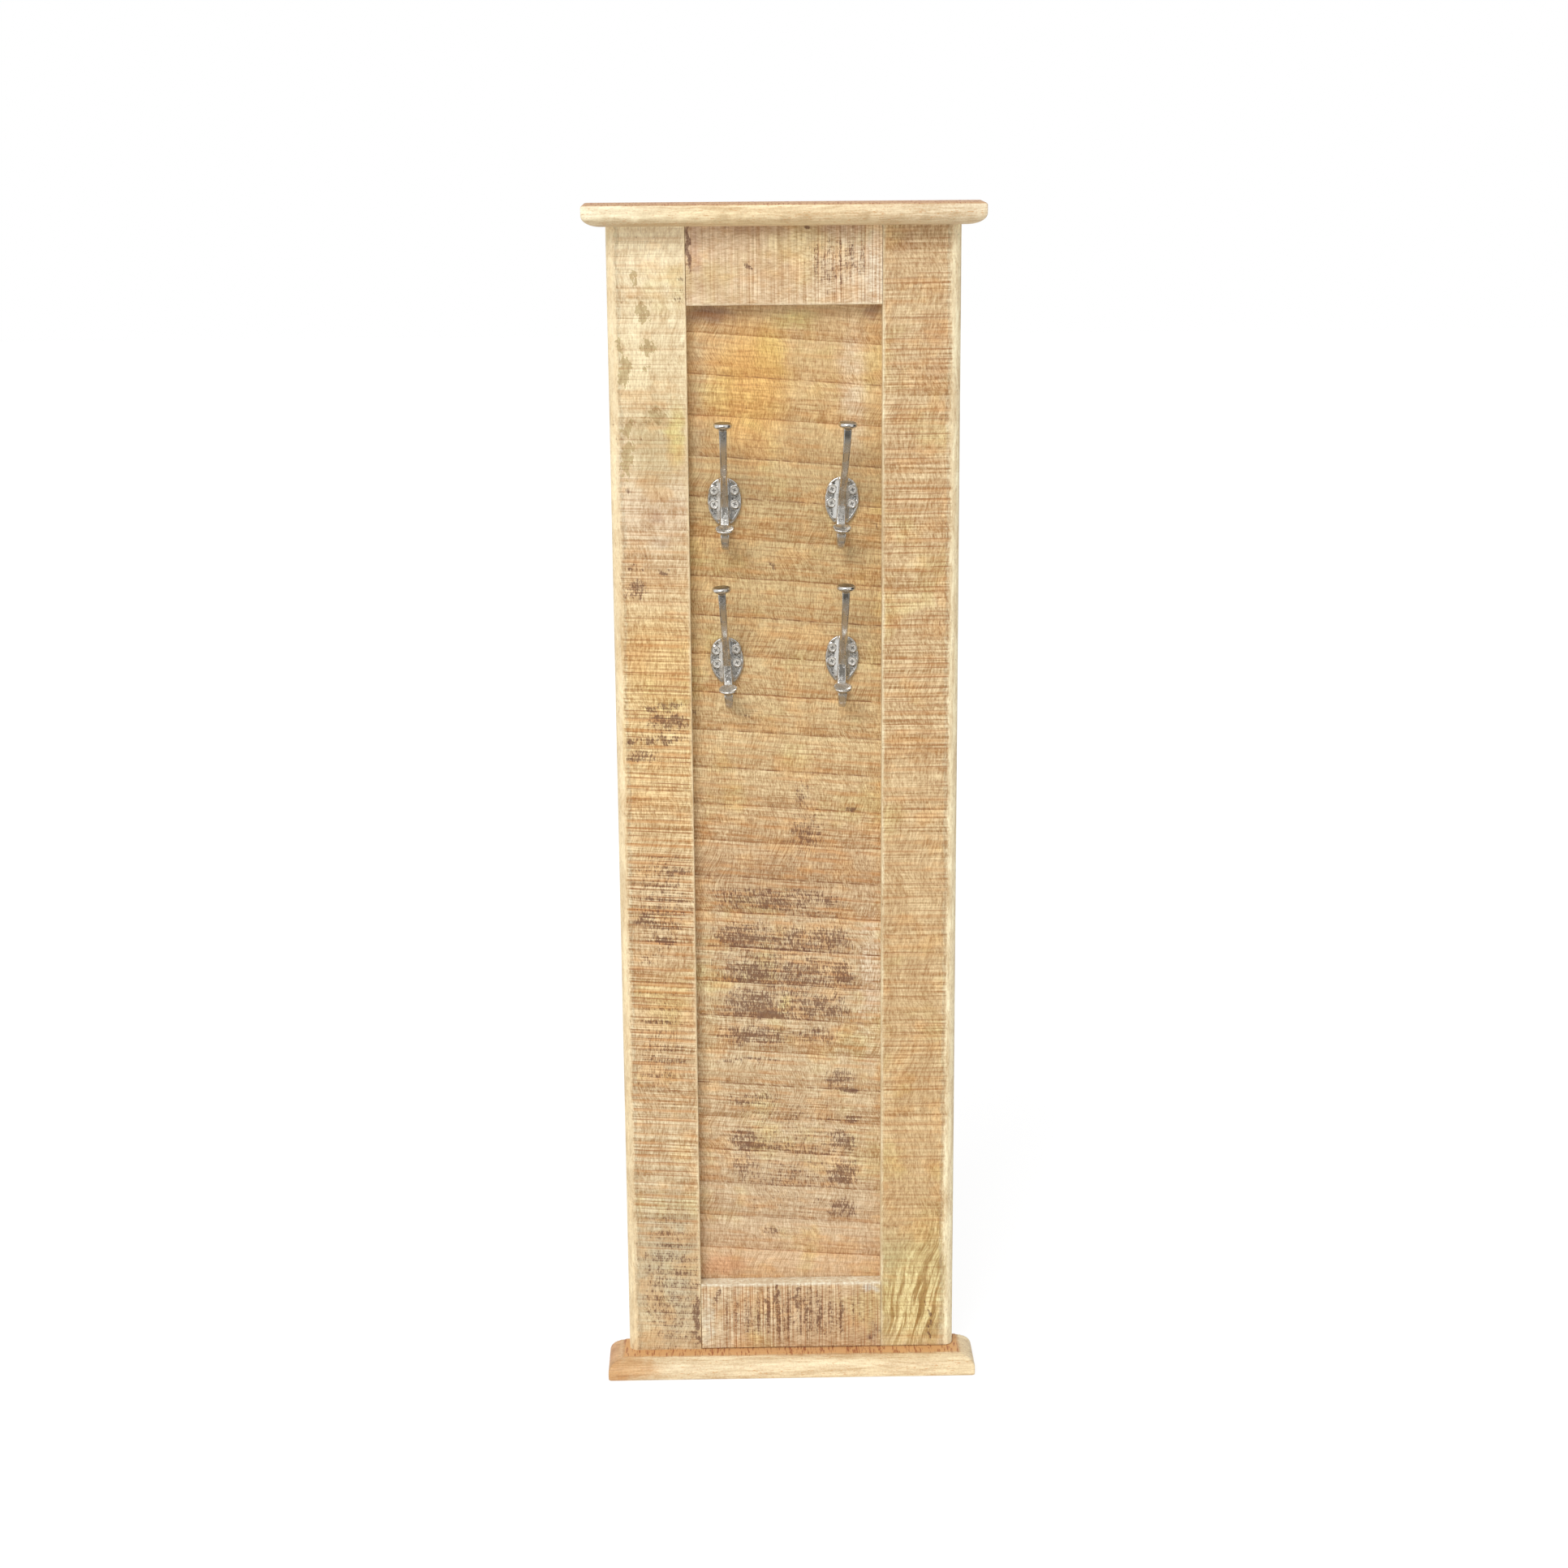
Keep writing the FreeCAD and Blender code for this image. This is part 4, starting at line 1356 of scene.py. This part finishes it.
floor_half = 12.0
floor_mesh = bpy.data.meshes.new("floor")
floor_level = cad_box[0].z
floor_ends = [(-1, -1), (1, -1), (1, 1), (-1, 1)]
floor_corners = [(x * floor_half, y * floor_half, floor_level) for x, y in floor_ends]
floor_mesh.from_pydata(floor_corners, [], [(0, 1, 2, 3)])
floor = new_piece("floor", floor_mesh)
floor_paint, floor_tree = new_material("floor_paint")
seen = seen_directly(floor_tree)
floor_colour = weighed(floor_tree, floor_white, (seen, floor_seen - floor_white))
matt = put(floor_tree, "BsdfDiffuse", {"Color": floor_colour})
glow = put(floor_tree, "Emission", {"Strength": product(floor_tree, seen, floor_glow)})
both = put(floor_tree, "AddShader", {0: matt.outputs[0], 1: glow.outputs[0]})
put(floor_tree, "OutputMaterial", {"Surface": both.outputs[0]})
floor_mesh.materials.append(floor_paint)

studio_half = 1.7
studio_top = 1.3
studio_front = -3.3
cloth_back = -0.1
cloth_lift = 0.002
side_card_back = 2.4
left_card_front = 0.75
right_card_front = -1.0
mat_inner = 0.35
mat_outer = 1.3
mat_half = 0.5


def mirrored_card(name, card_corners, axis, near, far):
    """Card that lights nothing and only shows in the metal, each shade at its place on the axis."""
    mesh = bpy.data.meshes.new(name)
    mesh.from_pydata(card_corners, [], [(0, 1, 2, 3)])
    card = new_piece(name, mesh)
    paint, tree = new_material(name + "_paint")
    spot = put(tree, "SeparateXYZ", {0: put(tree, "TexCoord").outputs["Object"]}).outputs[axis]
    shade = painted(tree, (*near[1], 1), far[1], ramp(tree, spot, near[0], far[0]))
    glow = put(tree, "Emission", {"Color": shade})
    put(tree, "OutputMaterial", {"Surface": glow.outputs[0]})
    mesh.materials.append(paint)
    card.visible_camera = False
    card.visible_diffuse = False
    card.visible_transmission = False
    card.visible_shadow = False


def upright_card(name, start, end, low, high):
    """Card standing on the floor between two places, each an X and a Y, with shades at its foot and head."""
    foot = [(*start, floor_level), (*end, floor_level)]
    head = [(*end, studio_top), (*start, studio_top)]
    mirrored_card(name, foot + head, "Z", (floor_level, low), (studio_top, high))


cloth_level = floor_level + cloth_lift
cloth_ends = [(-1, studio_front), (1, studio_front), (1, cloth_back), (-1, cloth_back)]
cloth = [(side * studio_half, y, cloth_level) for side, y in cloth_ends]
cloth_near = (-0.5, tone(186, 160, 126))
cloth_far = (-2.2, tone(188, 182, 172))
mirrored_card("grey_cloth", cloth, "Y", cloth_near, cloth_far)
wall_shades = tone(112, 108, 102), tone(150, 147, 142)
upright_card("dim_wall", (-studio_half, studio_front), (studio_half, studio_front), *wall_shades)
dark_shades = tone(64, 62, 60), tone(80, 78, 76)
upright_card("dark_left", (-studio_half, left_card_front), (-studio_half, side_card_back), *dark_shades)
upright_card("dark_right", (studio_half, right_card_front), (studio_half, side_card_back), *dark_shades)
mat_level = cloth_level + cloth_lift
mat_ends = [(mat_inner, -mat_half), (mat_outer, -mat_half), (mat_outer, mat_half), (mat_inner, mat_half)]
for side, mat in ((-1, "dark_mat_left"), (1, "dark_mat_right")):
    mat_corners = [(side * x, y, mat_level) for x, y in mat_ends]
    mirrored_card(mat, mat_corners, "Y", (-mat_half, dark_shades[0]), (mat_half, dark_shades[1]))

lamp_strength = 1.7
lamp_spread = math.radians(28)
lamp_from = Vector((-0.4, -1.0, 0.82))
lamp = bpy.data.lights.new("key_lamp", "SUN")
lamp.energy = lamp_strength
lamp.angle = lamp_spread
key_lamp = new_piece("key_lamp", lamp)
key_lamp.rotation_mode = "QUATERNION"
key_lamp.rotation_quaternion = (-lamp_from).to_track_quat("-Z", "Y")

camera_place = Vector((-0.0553, -2.7007, 0.1942))
camera_yaw = math.radians(1.11)
camera_pitch = math.radians(14.31)
camera_roll = math.radians(-0.4)
camera_sensor = 36.0
camera_lens = 63.56
camera_data = bpy.data.cameras.new("camera")
camera_data.sensor_width = camera_sensor
camera_data.lens = camera_lens
camera = new_piece("camera", camera_data)
ahead = Vector((
    math.sin(camera_yaw) * math.cos(camera_pitch),
    math.cos(camera_yaw) * math.cos(camera_pitch),
    -math.sin(camera_pitch),
))
level_right = Vector((math.cos(camera_yaw), -math.sin(camera_yaw), 0))
level_up = level_right.cross(ahead)
right = math.cos(camera_roll) * level_right + math.sin(camera_roll) * level_up
up = math.cos(camera_roll) * level_up - math.sin(camera_roll) * level_right
turn = Matrix((right, up, -ahead)).transposed()
camera.matrix_world = Matrix.Translation(camera_place) @ turn.to_4x4()
bpy.context.scene.camera = camera

bpy.context.scene.view_settings.view_transform = "Standard"
